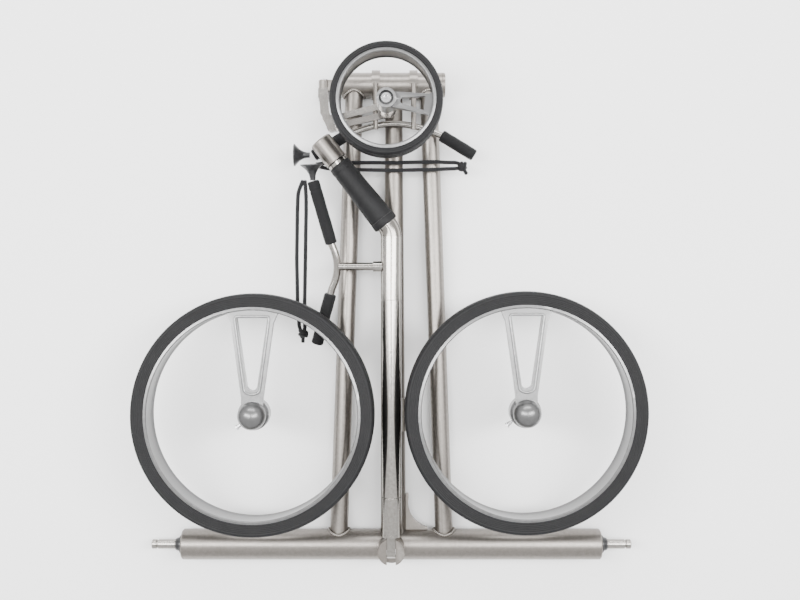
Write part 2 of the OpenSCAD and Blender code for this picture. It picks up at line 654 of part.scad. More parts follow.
// Steel sleeve that seats on the drive shaft.
module hub_sleeve(at) color([0.5, 0.5, 0.52]) translate(at) difference() {
    translate([0, 0, -12]) cylinder(h = wheel_w / 2 + 4, r = stub_d / 2 + 2.5);
    translate([0, 0, -14]) cylinder(h = wheel_w / 2 + 3, r = stub_d / 2 + fit_gap);
    rotate([0, 0, latch_turn]) translate([0, 0, latch_z]) rotate([-90, 0, 0])
        cylinder(h = 40, r = latch_bore_r);
}

// Spring pin that locks the hub in the shaft's groove: pulled outwards to release.
module release_pin(at, turn) color([0.3, 0.3, 0.32]) translate(at + [0, 0, latch_z])
    rotate([0, 0, turn + latch_turn]) rotate([-90, 0, 0]) {
        translate([0, 0, stub_d / 2 + 0.4]) cylinder(h = hub_r - stub_d / 2 + 4, r = 1.5);
        translate([0, 0, hub_r + 2]) cylinder(h = 5, r = 2.5);
        translate([0, 0, hub_r + 7]) cylinder(h = 1.5, r = 3.5);
    }

// Spring of the release pin, as the closed sleeve that its coils fill.
module pin_spring(at, turn) color([0.6, 0.6, 0.6]) translate(at + [0, 0, latch_z])
    rotate([0, 0, turn + latch_turn]) rotate([-90, 0, 0]) translate([0, 0, stub_d / 2 + 4]) difference() {
        cylinder(h = 8, r = 2.4);
        translate([0, 0, -1]) cylinder(h = 10, r = 1.6);
    }

module left_tyre() wheel_tyre(left_wheel);
module left_rim() wheel_rim(left_wheel, 0);
module left_hub_ball() hub_ball(left_wheel);
module left_hub_sleeve() hub_sleeve(left_wheel);
module left_release_pin() release_pin(left_wheel, 0);
module left_pin_spring() pin_spring(left_wheel, 0);
module right_tyre() wheel_tyre(right_wheel);
module right_rim() wheel_rim(right_wheel, 0);
module right_hub_ball() hub_ball(right_wheel);
module right_hub_sleeve() hub_sleeve(right_wheel);
module right_release_pin() release_pin(right_wheel, 0);
module right_pin_spring() pin_spring(right_wheel, 0);

crossbar_tube();
left_end_seal();
right_end_seal();
left_motor();
right_motor();
motor_screws();
left_leg();
right_leg();
centre_tube();
centre_gusset();
centre_sleeve();
top_tube();
top_cap();
hinge_cheeks();
hinge_pin();
swing_lug();
swing_pin();
cradle_saddles();
cradle_frame();
left_cradle_foam();
right_cradle_foam();
cradle_bungee();
cradle_toggle();
cradle_knot();
mast_foot();
mast_lower_tube();
mast_mid_tube();
mast_upper_tube();
mast_inner_tube();
grip_sleeve();
speed_knob();
dial_spindle();
rest_collar();
rest_arm();
upper_foam();
lower_foam();
rest_bungee();
rest_toggle();
rest_knot();
left_shaft();
right_shaft();
swing_arm();
front_axle();
front_bearings();
front_rim();
front_tyre();
left_tyre();
left_rim();
left_hub_ball();
left_hub_sleeve();
left_release_pin();
left_pin_spring();
right_tyre();
right_rim();
right_hub_ball();
right_hub_sleeve();
right_release_pin();
right_pin_spring();
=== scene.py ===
"""Looks of a folded golf trolley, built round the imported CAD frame."""

import json
import logging
import math
from dataclasses import dataclass, field
from enum import Enum
from typing import Callable, Sequence

import bmesh
import bpy
import numpy as np
from mathutils import Matrix, Vector


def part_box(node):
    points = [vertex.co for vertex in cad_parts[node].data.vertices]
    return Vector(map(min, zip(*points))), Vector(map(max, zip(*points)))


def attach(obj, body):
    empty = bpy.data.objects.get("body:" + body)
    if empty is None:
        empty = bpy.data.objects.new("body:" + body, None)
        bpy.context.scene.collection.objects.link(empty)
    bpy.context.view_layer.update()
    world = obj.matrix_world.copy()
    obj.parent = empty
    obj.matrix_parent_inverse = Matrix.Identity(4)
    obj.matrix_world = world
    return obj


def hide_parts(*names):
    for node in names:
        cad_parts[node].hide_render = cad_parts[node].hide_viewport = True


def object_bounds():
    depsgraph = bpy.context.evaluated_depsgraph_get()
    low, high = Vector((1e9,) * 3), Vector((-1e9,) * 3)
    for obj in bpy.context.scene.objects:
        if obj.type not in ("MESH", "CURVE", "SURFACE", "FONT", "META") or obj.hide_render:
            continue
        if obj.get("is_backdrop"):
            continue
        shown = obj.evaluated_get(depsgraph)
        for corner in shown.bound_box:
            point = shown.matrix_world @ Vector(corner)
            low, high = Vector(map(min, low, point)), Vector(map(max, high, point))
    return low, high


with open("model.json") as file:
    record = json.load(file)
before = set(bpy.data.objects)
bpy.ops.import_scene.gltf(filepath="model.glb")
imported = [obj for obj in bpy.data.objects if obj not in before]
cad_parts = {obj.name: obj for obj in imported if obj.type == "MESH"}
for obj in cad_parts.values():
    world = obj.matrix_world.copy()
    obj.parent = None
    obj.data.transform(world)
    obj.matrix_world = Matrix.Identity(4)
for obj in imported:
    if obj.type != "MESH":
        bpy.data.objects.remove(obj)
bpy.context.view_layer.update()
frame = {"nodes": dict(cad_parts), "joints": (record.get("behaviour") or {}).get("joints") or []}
log = logging.getLogger("trolley")
MM = 0.001


class Axis(Enum):
    """The axis that a brushed finish runs along."""

    X = 0
    Y = 1
    Z = 2


# ---- measuring the frame -----------------------------------------------------


@dataclass(frozen=True)
class Rod:
    """A straight round piece, measured on a CAD node."""

    start: Vector
    end: Vector
    radius: float

    @property
    def length(self) -> float:
        """Distance from start to end."""
        return (self.end - self.start).length

    @property
    def place(self) -> Matrix:
        """Matrix that takes +Z at the origin to this rod, starting at its start."""
        turn = Vector((0, 0, 1)).rotation_difference(self.end - self.start)
        return Matrix.Translation(self.start) @ turn.to_matrix().to_4x4()


def corners(node: str) -> np.ndarray:
    """Vertices of a CAD node at rest.

    Args:
        node: Name of the CAD node.

    Returns:
        An array of shape (n, 3), in metres.
    """
    mesh = frame["nodes"][node].data
    flat = np.zeros(len(mesh.vertices) * 3, np.float32)
    mesh.vertices.foreach_get("co", flat)
    return flat.reshape(-1, 3).astype(float)


def joint(name: str) -> dict:
    """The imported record's joint of that name."""
    return next(j for j in frame["joints"] if j["name"] == name)


def measure_rod(node: str, axis: Sequence[float] | None = None, towards: Vector | None = None) -> Rod:
    """Measures a straight round node along its own axis.

    Args:
        node: Name of the CAD node.
        axis: Direction of its axis, or None to find the longest direction.
        towards: A point that the rod's end is nearer to than its start is.

    Returns:
        The rod that encloses the node.
    """
    points = corners(node)
    middle = (points.min(0) + points.max(0)) / 2
    if axis is None:
        spread = np.linalg.svd(points - points.mean(0), full_matrices=False)[2]
        axis = spread[0]
    way = np.asarray(axis, float) / np.linalg.norm(axis)
    along = (points - middle) @ way
    across = (points - middle) - np.outer(along, way)
    offset = (across.min(0) + across.max(0)) / 2
    radius = float(np.linalg.norm(across - offset, axis=1).max())
    a = Vector(middle + offset + way * along.min())
    b = Vector(middle + offset + way * along.max())
    if towards is not None and (a - towards).length < (b - towards).length:
        a, b = b, a
    return Rod(a, b, radius)


def middle_of(node: str) -> Vector:
    """Centre of a CAD node's box."""
    low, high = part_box(node)
    return (low + high) / 2


# ---- mesh building -------------------------------------------------------------


@dataclass
class MeshShop:
    """Builds meshes from profiles and routes, in metres."""

    steps: int = 96

    def piece(self, name: str, points: Sequence, faces: Sequence,
              uvs: Sequence | None = None) -> bpy.types.Object:
        """Makes an object from points and faces.

        Args:
            name: Name of the object.
            points: Vertex positions.
            faces: Vertex indices of each face.
            uvs: One texture coordinate for each corner of each face, or None.

        Returns:
            The linked object, shaded smooth.
        """
        mesh = bpy.data.meshes.new(name)
        mesh.from_pydata([tuple(p) for p in points], [], [tuple(f) for f in faces])
        if uvs is not None:
            layer = mesh.uv_layers.new(name="UVMap")
            for corner, uv in zip(layer.data, uvs):
                corner.uv = uv
        mesh.polygons.foreach_set("use_smooth", [True] * len(mesh.polygons))
        mesh.update()
        thing = bpy.data.objects.new(name, mesh)
        bpy.context.scene.collection.objects.link(thing)
        return thing

    def lathe(self, name: str, profile: Sequence[tuple[float, float]], place: Matrix,
              shape: Callable[[float, float], float] | None = None, ring: bool = True) -> bpy.types.Object:
        """Turns a profile round +Z.

        Args:
            name: Name of the object.
            profile: Radius and height of each point, in order.
            place: Matrix that puts the turned shape in the frame.
            shape: Extra radius at an angle and a height, or None.
            ring: True where the profile closes on itself; else its ends lie on the axis.

        Returns:
            The turned object.
        """
        count, rows = self.steps, len(profile)
        points = []
        for r, z in profile:
            for k in range(count):
                a = 2 * math.pi * k / count
                q = r + (shape(a, z) if shape and r > 1e-6 else 0.0)
                points.append(place @ Vector((q * math.cos(a), q * math.sin(a), z)))
        faces, uvs = [], []
        for i in range(rows if ring else rows - 1):
            j = (i + 1) % rows
            for k in range(count):
                m = (k + 1) % count
                faces.append((i * count + k, i * count + m, j * count + m, j * count + k))
                u0, u1, v0, v1 = k / count, (k + 1) / count, i / rows, (i + 1) / rows
                uvs += [(u0, v0), (u1, v0), (u1, v1), (u0, v1)]
        thing = self.piece(name, points, faces, uvs)
        self.tidy(thing)
        return thing

    def tube(self, name: str, route: Sequence[Vector], radius: float | Callable[[float], float],
             sides: int = 14, loop: bool = False) -> bpy.types.Object:
        """Sweeps a round section along a route, with rounded ends.

        Args:
            name: Name of the object.
            route: Points of the route.
            radius: Radius, or a function of the share of the route from 0 to 1.
            sides: Sides of the section.
            loop: True where the route closes on itself.

        Returns:
            The swept object.
        """
        size = radius if callable(radius) else (lambda _share: radius)
        count = len(route)
        points, travelled = [], [0.0]
        side = None
        for i, p in enumerate(route):
            before = route[i - 1] if (i or loop) else p
            after = route[(i + 1) % count] if (i + 1 < count or loop) else p
            way = (after - before).normalized()
            side = way.orthogonal() if side is None else side - way * side.dot(way)
            side = side.normalized()
            other = way.cross(side)
            share = i / (count - 1)
            for k in range(sides):
                a = 2 * math.pi * k / sides
                points.append(p + (side * math.cos(a) + other * math.sin(a)) * size(share))
            if i:
                travelled.append(travelled[-1] + (p - route[i - 1]).length)
        faces, uvs = [], []
        girth = 2 * math.pi * size(0.5)
        for i in range(count if loop else count - 1):
            j = (i + 1) % count
            v0 = travelled[i] / girth
            v1 = (travelled[j] if j else travelled[i] + (route[0] - route[i]).length) / girth
            for k in range(sides):
                m = (k + 1) % sides
                faces.append((i * sides + k, i * sides + m, j * sides + m, j * sides + k))
                uvs += [(k / sides, v0), ((k + 1) / sides, v0), ((k + 1) / sides, v1), (k / sides, v1)]
        if not loop:
            for end, way in ((0, route[0] - route[1]), (count - 1, route[-1] - route[-2])):
                bulge = size(end / (count - 1)) * 0.45
                points.append(route[end] + way.normalized() * bulge)
                tip = len(points) - 1
                for k in range(sides):
                    m = (k + 1) % sides
                    pair = (end * sides + k, end * sides + m)
                    faces.append((pair[1], pair[0], tip) if end == 0 else (pair[0], pair[1], tip))
                    uvs += [(0.0, 0.0), (0.1, 0.0), (0.05, 0.1)]
        return self.piece(name, points, faces, uvs)

    def join(self, name: str, parts: Sequence[bpy.types.Object]) -> bpy.types.Object:
        """Joins several objects into one, with the first one's place.

        Args:
            name: Name of the joined object.
            parts: Objects with no modifiers and no parents.

        Returns:
            The joined object.
        """
        bpy.ops.object.select_all(action="DESELECT")
        for part in parts:
            part.select_set(True)
        bpy.context.view_layer.objects.active = parts[0]
        if len(parts) > 1:
            bpy.ops.object.join()
        parts[0].name = name
        parts[0].data.name = name
        return parts[0]

    def tidy(self, thing: bpy.types.Object) -> None:
        """Merges double points and turns every face outwards.

        Args:
            thing: The object whose mesh is tidied.
        """
        work = bmesh.new()
        work.from_mesh(thing.data)
        bmesh.ops.remove_doubles(work, verts=work.verts, dist=1e-6)
        bmesh.ops.recalc_face_normals(work, faces=work.faces)
        work.to_mesh(thing.data)
        work.free()

    def round_edges(self, thing: bpy.types.Object, width: float, segments: int = 2) -> None:
        """Welds a CAD node's mesh and rounds its sharp edges with modifiers.

        Args:
            thing: The CAD node.
            width: Width of the rounding, in metres.
            segments: Steps of the rounding.
        """
        weld = thing.modifiers.new("weld", "WELD")
        weld.merge_threshold = 2e-6
        bevel = thing.modifiers.new("edges", "BEVEL")
        bevel.width = width
        bevel.segments = segments
        bevel.limit_method = "ANGLE"
        bevel.angle_limit = math.radians(32)
        bevel.use_clamp_overlap = True
        normals = thing.modifiers.new("normals", "WEIGHTED_NORMAL")
        normals.keep_sharp = False


def smooth_route(points: Sequence[Vector], per_span: int = 6) -> list[Vector]:
    """Catmull-Rom curve through points.

    Args:
        points: Points that the curve passes through.
        per_span: Steps between two points.

    Returns:
        The points of the curve.
    """
    route = []
    for i in range(len(points) - 1):
        p0, p1 = points[max(i - 1, 0)], points[i]
        p2, p3 = points[i + 1], points[min(i + 2, len(points) - 1)]
        for k in range(per_span):
            t = k / per_span
            route.append(0.5 * (2 * p1 + (p2 - p0) * t + (2 * p0 - 5 * p1 + 4 * p2 - p3) * t * t
                                + (3 * p1 - p0 - 3 * p2 + p3) * t ** 3))
    route.append(points[-1].copy())
    return route


# ---- shader node groups ---------------------------------------------------------


class GroupShop:
    """Builds the shared shader node groups, each of them once."""

    def __init__(self) -> None:
        """Starts with no groups."""
        self.made: dict[str, bpy.types.NodeTree] = {}

    def start(self, name: str, inputs: dict[str, float], outputs: Sequence[str]) -> bpy.types.NodeTree:
        """Makes an empty group with number inputs and number outputs.

        Args:
            name: Name of the group.
            inputs: Name and default of each input.
            outputs: Name of each output.

        Returns:
            The new group.
        """
        tree = bpy.data.node_groups.new(name, "ShaderNodeTree")
        for label, value in inputs.items():
            socket = tree.interface.new_socket(label, in_out="INPUT", socket_type="NodeSocketFloat")
            socket.default_value = value
        for label in outputs:
            tree.interface.new_socket(label, in_out="OUTPUT", socket_type="NodeSocketFloat")
        tree.nodes.new("NodeGroupInput").name = "in"
        tree.nodes.new("NodeGroupOutput").name = "out"
        self.made[name] = tree
        return tree

    @staticmethod
    def math(tree: bpy.types.NodeTree, kind: str, a: object, b: object = 0.5, c: object = None,
             clamp: bool = False) -> bpy.types.NodeSocket:
        """Adds a Math node.

        Args:
            tree: Node tree to add it to.
            kind: Operation.
            a: First value or socket.
            b: Second value or socket.
            c: Third value or socket, or None.
            clamp: True to keep the result from 0 to 1.

        Returns:
            The node's output.
        """
        node = tree.nodes.new("ShaderNodeMath")
        node.operation = kind
        node.use_clamp = clamp
        for i, value in enumerate((a, b, c)):
            if isinstance(value, bpy.types.NodeSocket):
                tree.links.new(value, node.inputs[i])
            elif value is not None:
                node.inputs[i].default_value = float(value)
        return node.outputs[0]

    @staticmethod
    def place(tree: bpy.types.NodeTree, scale: object, stretch: tuple[float, float, float] = (1, 1, 1),
              source: str = "Object") -> bpy.types.NodeSocket:
        """Scaled texture coordinates.

        Args:
            tree: Node tree to add the nodes to.
            scale: Size value or socket.
            stretch: Factor along each axis.
            source: Output of the Texture Coordinate node.

        Returns:
            The scaled vector.
        """
        coords = tree.nodes.new("ShaderNodeTexCoord")
        shape = tree.nodes.new("ShaderNodeMapping")
        shape.inputs["Scale"].default_value = stretch
        tree.links.new(coords.outputs[source], shape.inputs["Vector"])
        grow = tree.nodes.new("ShaderNodeVectorMath")
        grow.operation = "SCALE"
        tree.links.new(shape.outputs[0], grow.inputs[0])
        if isinstance(scale, bpy.types.NodeSocket):
            tree.links.new(scale, grow.inputs["Scale"])
        else:
            grow.inputs["Scale"].default_value = scale
        return grow.outputs[0]

    @staticmethod
    def noise(tree: bpy.types.NodeTree, vector: bpy.types.NodeSocket, detail: float = 3.0,
              rough: float = 0.5) -> bpy.types.NodeSocket:
        """Adds a Noise texture at scale 1.

        Args:
            tree: Node tree to add it to.
            vector: Scaled coordinates.
            detail: Number of finer layers.
            rough: Strength of the finer layers.

        Returns:
            The texture's number output.
        """
        node = tree.nodes.new("ShaderNodeTexNoise")
        node.inputs["Scale"].default_value = 1.0
        node.inputs["Detail"].default_value = detail
        node.inputs["Roughness"].default_value = rough
        tree.links.new(vector, node.inputs["Vector"])
        return node.outputs[0]

    @staticmethod
    def cells(tree: bpy.types.NodeTree, vector: bpy.types.NodeSocket,
              feature: str = "F1") -> bpy.types.NodeSocket:
        """Adds a Voronoi texture at scale 1.

        Args:
            tree: Node tree to add it to.
            vector: Scaled coordinates.
            feature: What the distance is measured to.

        Returns:
            The texture's distance.
        """
        node = tree.nodes.new("ShaderNodeTexVoronoi")
        node.feature = feature
        node.inputs["Scale"].default_value = 1.0
        tree.links.new(vector, node.inputs["Vector"])
        return node.outputs["Distance"]

    def get(self, name: str) -> bpy.types.NodeTree:
        """The group of that name, built the first time it is asked for."""
        return self.made.get(name) or getattr(self, f"make_{name}")()

    def make_clouding(self) -> bpy.types.NodeTree:
        """Slow variation in tone over a surface, and finger-sized smudges.

        Returns:
            The new group.
        """
        tree = self.start("clouding", {"Scale": 14.0, "Amount": 0.1}, ("Tone", "Smudge"))
        inside, out = tree.nodes["in"], tree.nodes["out"]
        slow = self.noise(tree, self.place(tree, inside.outputs["Scale"]), 4.0, 0.55)
        quick = self.noise(tree, self.place(tree, 90.0), 5.0, 0.6)
        swing = self.math(tree, "SUBTRACT", slow, 0.5)
        tone = self.math(tree, "MULTIPLY_ADD", swing, inside.outputs["Amount"], 1.0)
        smudge = self.math(tree, "MULTIPLY", self.math(tree, "SUBTRACT", quick, 0.52), 3.0, clamp=True)
        tree.links.new(tone, out.inputs["Tone"])
        tree.links.new(smudge, out.inputs["Smudge"])
        return tree

    def make_edge_wear(self) -> bpy.types.NodeTree:
        """Mask that is bright on outside edges, broken up by noise.

        Returns:
            The new group.
        """
        tree = self.start("edge_wear", {"Width": 0.06, "Breakup": 220.0}, ("Mask",))
        inside, out = tree.nodes["in"], tree.nodes["out"]
        shape = tree.nodes.new("ShaderNodeNewGeometry")
        raised = self.math(tree, "SUBTRACT", shape.outputs["Pointiness"], 0.5)
        edge = self.math(tree, "DIVIDE", raised, inside.outputs["Width"], clamp=True)
        broken = self.noise(tree, self.place(tree, inside.outputs["Breakup"]), 4.0, 0.6)
        patches = self.math(tree, "MULTIPLY", broken, 1.5, clamp=True)
        mask = self.math(tree, "MULTIPLY", edge, patches, clamp=True)
        tree.links.new(mask, out.inputs["Mask"])
        return tree

    def make_blasted(self) -> bpy.types.NodeTree:
        """Height of a fine bead-blasted surface, with a few longer scratches.

        Returns:
            The new group.
        """
        tree = self.start("blasted", {"Scale": 2600.0}, ("Height", "Scratch"))
        inside, out = tree.nodes["in"], tree.nodes["out"]
        fine = self.noise(tree, self.place(tree, inside.outputs["Scale"]), 2.0, 0.7)
        lines = self.noise(tree, self.place(tree, 160.0, (1.0, 0.04, 1.0)), 2.0, 0.5)
        scratch = self.math(tree, "MULTIPLY", self.math(tree, "SUBTRACT", lines, 0.68), 9.0, clamp=True)
        tree.links.new(fine, out.inputs["Height"])
        tree.links.new(scratch, out.inputs["Scratch"])
        return tree

    def make_brushed(self, name: str, stretch: tuple[float, float, float]) -> bpy.types.NodeTree:
        """Fine lines along one axis, as height and as roughness.

        Args:
            name: Name of the group.
            stretch: Factor along each axis, small along the lines.

        Returns:
            The new group.
        """
        tree = self.start(name, {"Scale": 1400.0}, ("Height", "Lines"))
        inside, out = tree.nodes["in"], tree.nodes["out"]
        fine = self.noise(tree, self.place(tree, inside.outputs["Scale"], stretch), 3.0, 0.65)
        wide = self.noise(tree, self.place(tree, 260.0, stretch), 2.0, 0.5)
        tree.links.new(fine, out.inputs["Height"])
        tree.links.new(wide, out.inputs["Lines"])
        return tree

    def make_dust(self) -> bpy.types.NodeTree:
        """Mask of thin dust in patches.

        Returns:
            The new group.
        """
        tree = self.start("dust", {"Scale": 60.0, "Amount": 0.2}, ("Mask",))
        inside, out = tree.nodes["in"], tree.nodes["out"]
        patch = self.noise(tree, self.place(tree, inside.outputs["Scale"]), 6.0, 0.65)
        grain = self.noise(tree, self.place(tree, 1800.0), 1.0, 0.5)
        both = self.math(tree, "MULTIPLY", self.math(tree, "SUBTRACT", patch, 0.42), grain)
        mask = self.math(tree, "MULTIPLY", both, inside.outputs["Amount"], clamp=True)
        tree.links.new(mask, out.inputs["Mask"])
        return tree

    def make_pebble(self) -> bpy.types.NodeTree:
        """Grain of leather or foam: rounded cells with creases, and finer pores.

        Returns:
            The new group.
        """
        tree = self.start("pebble", {"Scale": 900.0}, ("Height", "Crease"))
        inside, out = tree.nodes["in"], tree.nodes["out"]
        cell = self.cells(tree, self.place(tree, inside.outputs["Scale"]), "DISTANCE_TO_EDGE")
        crease = self.math(tree, "SUBTRACT", 1.0, self.math(tree, "MULTIPLY", cell, 5.0, clamp=True))
        pore = self.noise(tree, self.place(tree, 3200.0), 2.0, 0.6)
        height = self.math(tree, "MULTIPLY_ADD", pore, 0.3, self.math(tree, "SUBTRACT", 1.0, crease))
        tree.links.new(height, out.inputs["Height"])
        tree.links.new(crease, out.inputs["Crease"])
        return tree

    def make_braid(self) -> bpy.types.NodeTree:
        """Two sets of crossing strands round a cord, from its texture coordinates.

        Returns:
            The new group.
        """
        tree = self.start("braid", {"Turns": 6.0, "Pitch": 5.0}, ("Height", "Gap"))
        inside, out = tree.nodes["in"], tree.nodes["out"]
        coords = tree.nodes.new("ShaderNodeTexCoord")
        parts = tree.nodes.new("ShaderNodeSeparateXYZ")
        tree.links.new(coords.outputs["UV"], parts.inputs[0])
        round_it = self.math(tree, "MULTIPLY", parts.outputs["X"], inside.outputs["Turns"])
        along = self.math(tree, "MULTIPLY", parts.outputs["Y"], inside.outputs["Pitch"])
        waves = []
        for kind in ("ADD", "SUBTRACT"):
            phase = self.math(tree, "MULTIPLY", self.math(tree, kind, round_it, along), 2 * math.pi)
            waves.append(self.math(tree, "ABSOLUTE", self.math(tree, "SINE", phase)))
        height = self.math(tree, "MULTIPLY", waves[0], waves[1])
        filled = self.math(tree, "MULTIPLY", height, 4.0, clamp=True)
        gap = self.math(tree, "SUBTRACT", 1.0, filled, clamp=True)
        tree.links.new(self.math(tree, "POWER", height, 0.6), out.inputs["Height"])
        tree.links.new(gap, out.inputs["Gap"])
        return tree


# ---- finishes --------------------------------------------------------------------


@dataclass
class Paint:
    """One material being built: its node tree and shader, with short ways to add nodes."""

    name: str
    groups: GroupShop
    material: bpy.types.Material = field(init=False)

    def __post_init__(self) -> None:
        """Makes the material with a plain Principled shader."""
        self.material = bpy.data.materials.new(self.name)
        self.material.use_nodes = True
        self.tree = self.material.node_tree
        self.shader = self.tree.nodes["Principled BSDF"]

    def use(self, group: str, **values: float) -> bpy.types.Node:
        """Places a shared group.

        Args:
            group: Name of the group.
            **values: Input values, by the input's name.

        Returns:
            The group node.
        """
        node = self.tree.nodes.new("ShaderNodeGroup")
        node.node_tree = self.groups.get(group)
        for label, value in values.items():
            node.inputs[label].default_value = value
        return node

    def tint(self, colour: tuple[float, float, float], tone: bpy.types.NodeSocket) -> bpy.types.NodeSocket:
        """Multiplies a colour by a tone that changes over the surface.

        Args:
            colour: The plain colour.
            tone: The tone.

        Returns:
            The toned colour.
        """
        scale = self.tree.nodes.new("ShaderNodeVectorMath")
        scale.operation = "SCALE"
        scale.inputs[0].default_value = colour
        self.tree.links.new(tone, scale.inputs["Scale"])
        return scale.outputs[0]

    def mix(self, mask: bpy.types.NodeSocket, a: bpy.types.NodeSocket, b: tuple[float, float, float]
            ) -> bpy.types.NodeSocket:
        """Mixes a colour socket with a fixed colour by a mask.

        Args:
            mask: Share of the fixed colour.
            a: Colour where the mask is 0.
            b: Colour where the mask is 1.

        Returns:
            The mixed colour.
        """
        node = self.tree.nodes.new("ShaderNodeMix")
        node.data_type = "RGBA"
        self.tree.links.new(mask, node.inputs["Factor"])
        self.tree.links.new(a, node.inputs["A"])
        node.inputs["B"].default_value = (*b, 1.0)
        return node.outputs["Result"]

    def rough(self, low: float, high: float, mask: bpy.types.NodeSocket) -> None:
        """Drives the roughness by a mask.

        Args:
            low: Roughness where the mask is 0.
            high: Roughness where the mask is 1.
            mask: The mask.
        """
        node = self.tree.nodes.new("ShaderNodeMapRange")
        node.inputs["To Min"].default_value = low
        node.inputs["To Max"].default_value = high
        self.tree.links.new(mask, node.inputs["Value"])
        self.tree.links.new(node.outputs[0], self.shader.inputs["Roughness"])

    def bump(self, height: bpy.types.NodeSocket, depth: float, strength: float = 1.0) -> None:
        """Feeds the normal from a height, and chains after any earlier bump.

        Args:
            height: Height from 0 to 1.
            depth: Depth in metres that the height stands for.
            strength: How strongly the bump shows.
        """
        node = self.tree.nodes.new("ShaderNodeBump")
        node.inputs["Strength"].default_value = strength
        node.inputs["Distance"].default_value = depth
        self.tree.links.new(height, node.inputs["Height"])
        target = self.shader.inputs["Normal"]
        if target.is_linked:
            self.tree.links.new(target.links[0].from_socket, node.inputs["Normal"])
        self.tree.links.new(node.outputs[0], target)

    def colour(self, socket: bpy.types.NodeSocket) -> None:
        """Feeds the base colour."""
        self.tree.links.new(socket, self.shader.inputs["Base Color"])

    def fix(self, **values: float) -> None:
        """Sets plain values on the shader's own sockets, with _ for a space in a name."""
        for label, value in values.items():
            self.shader.inputs[label.replace("_", " ")].default_value = value


@dataclass(frozen=True)
class BlastedMetal:
    """Satin, bead-blasted titanium."""

    colour: tuple[float, float, float] = (0.165, 0.150, 0.134)
    low: float = 0.36
    high: float = 0.44
    depth: float = 0.000008

    def build(self, name: str, groups: GroupShop) -> bpy.types.Material:
        """Builds the material.

        Args:
            name: Name of the material.
            groups: Where its shared groups come from.

        Returns:
            The material.
        """
        paint = Paint(name, groups)
        cloud = paint.use("clouding", Scale=22.0, Amount=0.10)
        grain = paint.use("blasted", Scale=2600.0)
        wear = paint.use("edge_wear", Width=0.05, Breakup=260.0)
        base = paint.tint(self.colour, cloud.outputs["Tone"])
        paint.colour(paint.mix(wear.outputs["Mask"], base, (0.30, 0.28, 0.26)))
        paint.rough(self.low, self.high, cloud.outputs["Smudge"])
        paint.bump(grain.outputs["Height"], self.depth, 0.35)
        paint.bump(grain.outputs["Scratch"], 0.000004, 0.2)
        paint.fix(Metallic=1.0)
        return paint.material


@dataclass(frozen=True)
class BrushedMetal:
    """Polished metal with fine lines along one axis."""

    colour: tuple[float, float, float] = (0.22, 0.205, 0.188)
    axis: Axis = Axis.Y
    low: float = 0.13
    high: float = 0.24
    depth: float = 0.000012

    def build(self, name: str, groups: GroupShop) -> bpy.types.Material:
        """Builds the material.

        Args:
            name: Name of the material.
            groups: Where its shared groups come from.

        Returns:
            The material.
        """
        label = f"brushed_{self.axis.name.lower()}"
        if label not in groups.made:
            stretch = [1.0, 1.0, 1.0]
            stretch[self.axis.value] = 0.02
            groups.make_brushed(label, tuple(stretch))
        paint = Paint(name, groups)
        lines = paint.use(label, Scale=1400.0)
        cloud = paint.use("clouding", Scale=30.0, Amount=0.12)
        wear = paint.use("edge_wear", Width=0.05, Breakup=300.0)
        base = paint.tint(self.colour, cloud.outputs["Tone"])
        paint.colour(paint.mix(wear.outputs["Mask"], base, (0.40, 0.385, 0.36)))
        paint.rough(self.low, self.high, lines.outputs["Lines"])
        paint.bump(lines.outputs["Height"], self.depth, 0.4)
        paint.fix(Metallic=1.0)
        return paint.material


@dataclass(frozen=True)
class SilverPaint:
    """Fine silver paint over a casting, under a thin clear coat."""

    colour: tuple[float, float, float] = (0.115, 0.115, 0.115)

    def build(self, name: str, groups: GroupShop) -> bpy.types.Material:
        """Builds the material.

        Args:
            name: Name of the material.
            groups: Where its shared groups come from.

        Returns:
            The material.
        """
        paint = Paint(name, groups)
        cloud = paint.use("clouding", Scale=40.0, Amount=0.08)
        flake = paint.use("blasted", Scale=4200.0)
        wear = paint.use("edge_wear", Width=0.06, Breakup=240.0)
        base = paint.tint(self.colour, cloud.outputs["Tone"])
        paint.colour(paint.mix(wear.outputs["Mask"], base, (0.40, 0.40, 0.40)))
        paint.rough(0.26, 0.38, flake.outputs["Height"])
        paint.bump(flake.outputs["Height"], 0.00001, 0.35)
        paint.fix(Metallic=0.85, Coat_Weight=0.25, Coat_Roughness=0.12)
        return paint.material


@dataclass(frozen=True)
class SoftBlack:
    """Rubber, foam or leather: a dark base with grain, creases and dust."""

    colour: tuple[float, float, float] = (0.035, 0.035, 0.038)
    dusty: tuple[float, float, float] = (0.05, 0.048, 0.045)
    low: float = 0.5
    high: float = 0.75
    grain: float = 900.0
    depth: float = 0.0001
    dust: float = 0.5
    sheen: float = 0.0
    gloss: float = 0.22

    def build(self, name: str, groups: GroupShop) -> bpy.types.Material:
        """Builds the material.

        Args:
            name: Name of the material.
            groups: Where its shared groups come from.

        Returns:
            The material.
        """
        paint = Paint(name, groups)
        cloud = paint.use("clouding", Scale=35.0, Amount=0.5)
        pebble = paint.use("pebble", Scale=self.grain)
        dust = paint.use("dust", Scale=45.0, Amount=self.dust)
        wear = paint.use("edge_wear", Width=0.08, Breakup=180.0)
        base = paint.tint(self.colour, cloud.outputs["Tone"])
        worn = paint.mix(wear.outputs["Mask"], base, tuple(c * 2.2 for c in self.colour))
        paint.colour(paint.mix(dust.outputs["Mask"], worn, self.dusty))
        paint.rough(self.low, self.high, pebble.outputs["Crease"])
        paint.bump(pebble.outputs["Height"], self.depth, 0.6)
        paint.fix(Sheen_Weight=self.sheen, Sheen_Roughness=0.4, Specular_IOR_Level=self.gloss)
        return paint.material


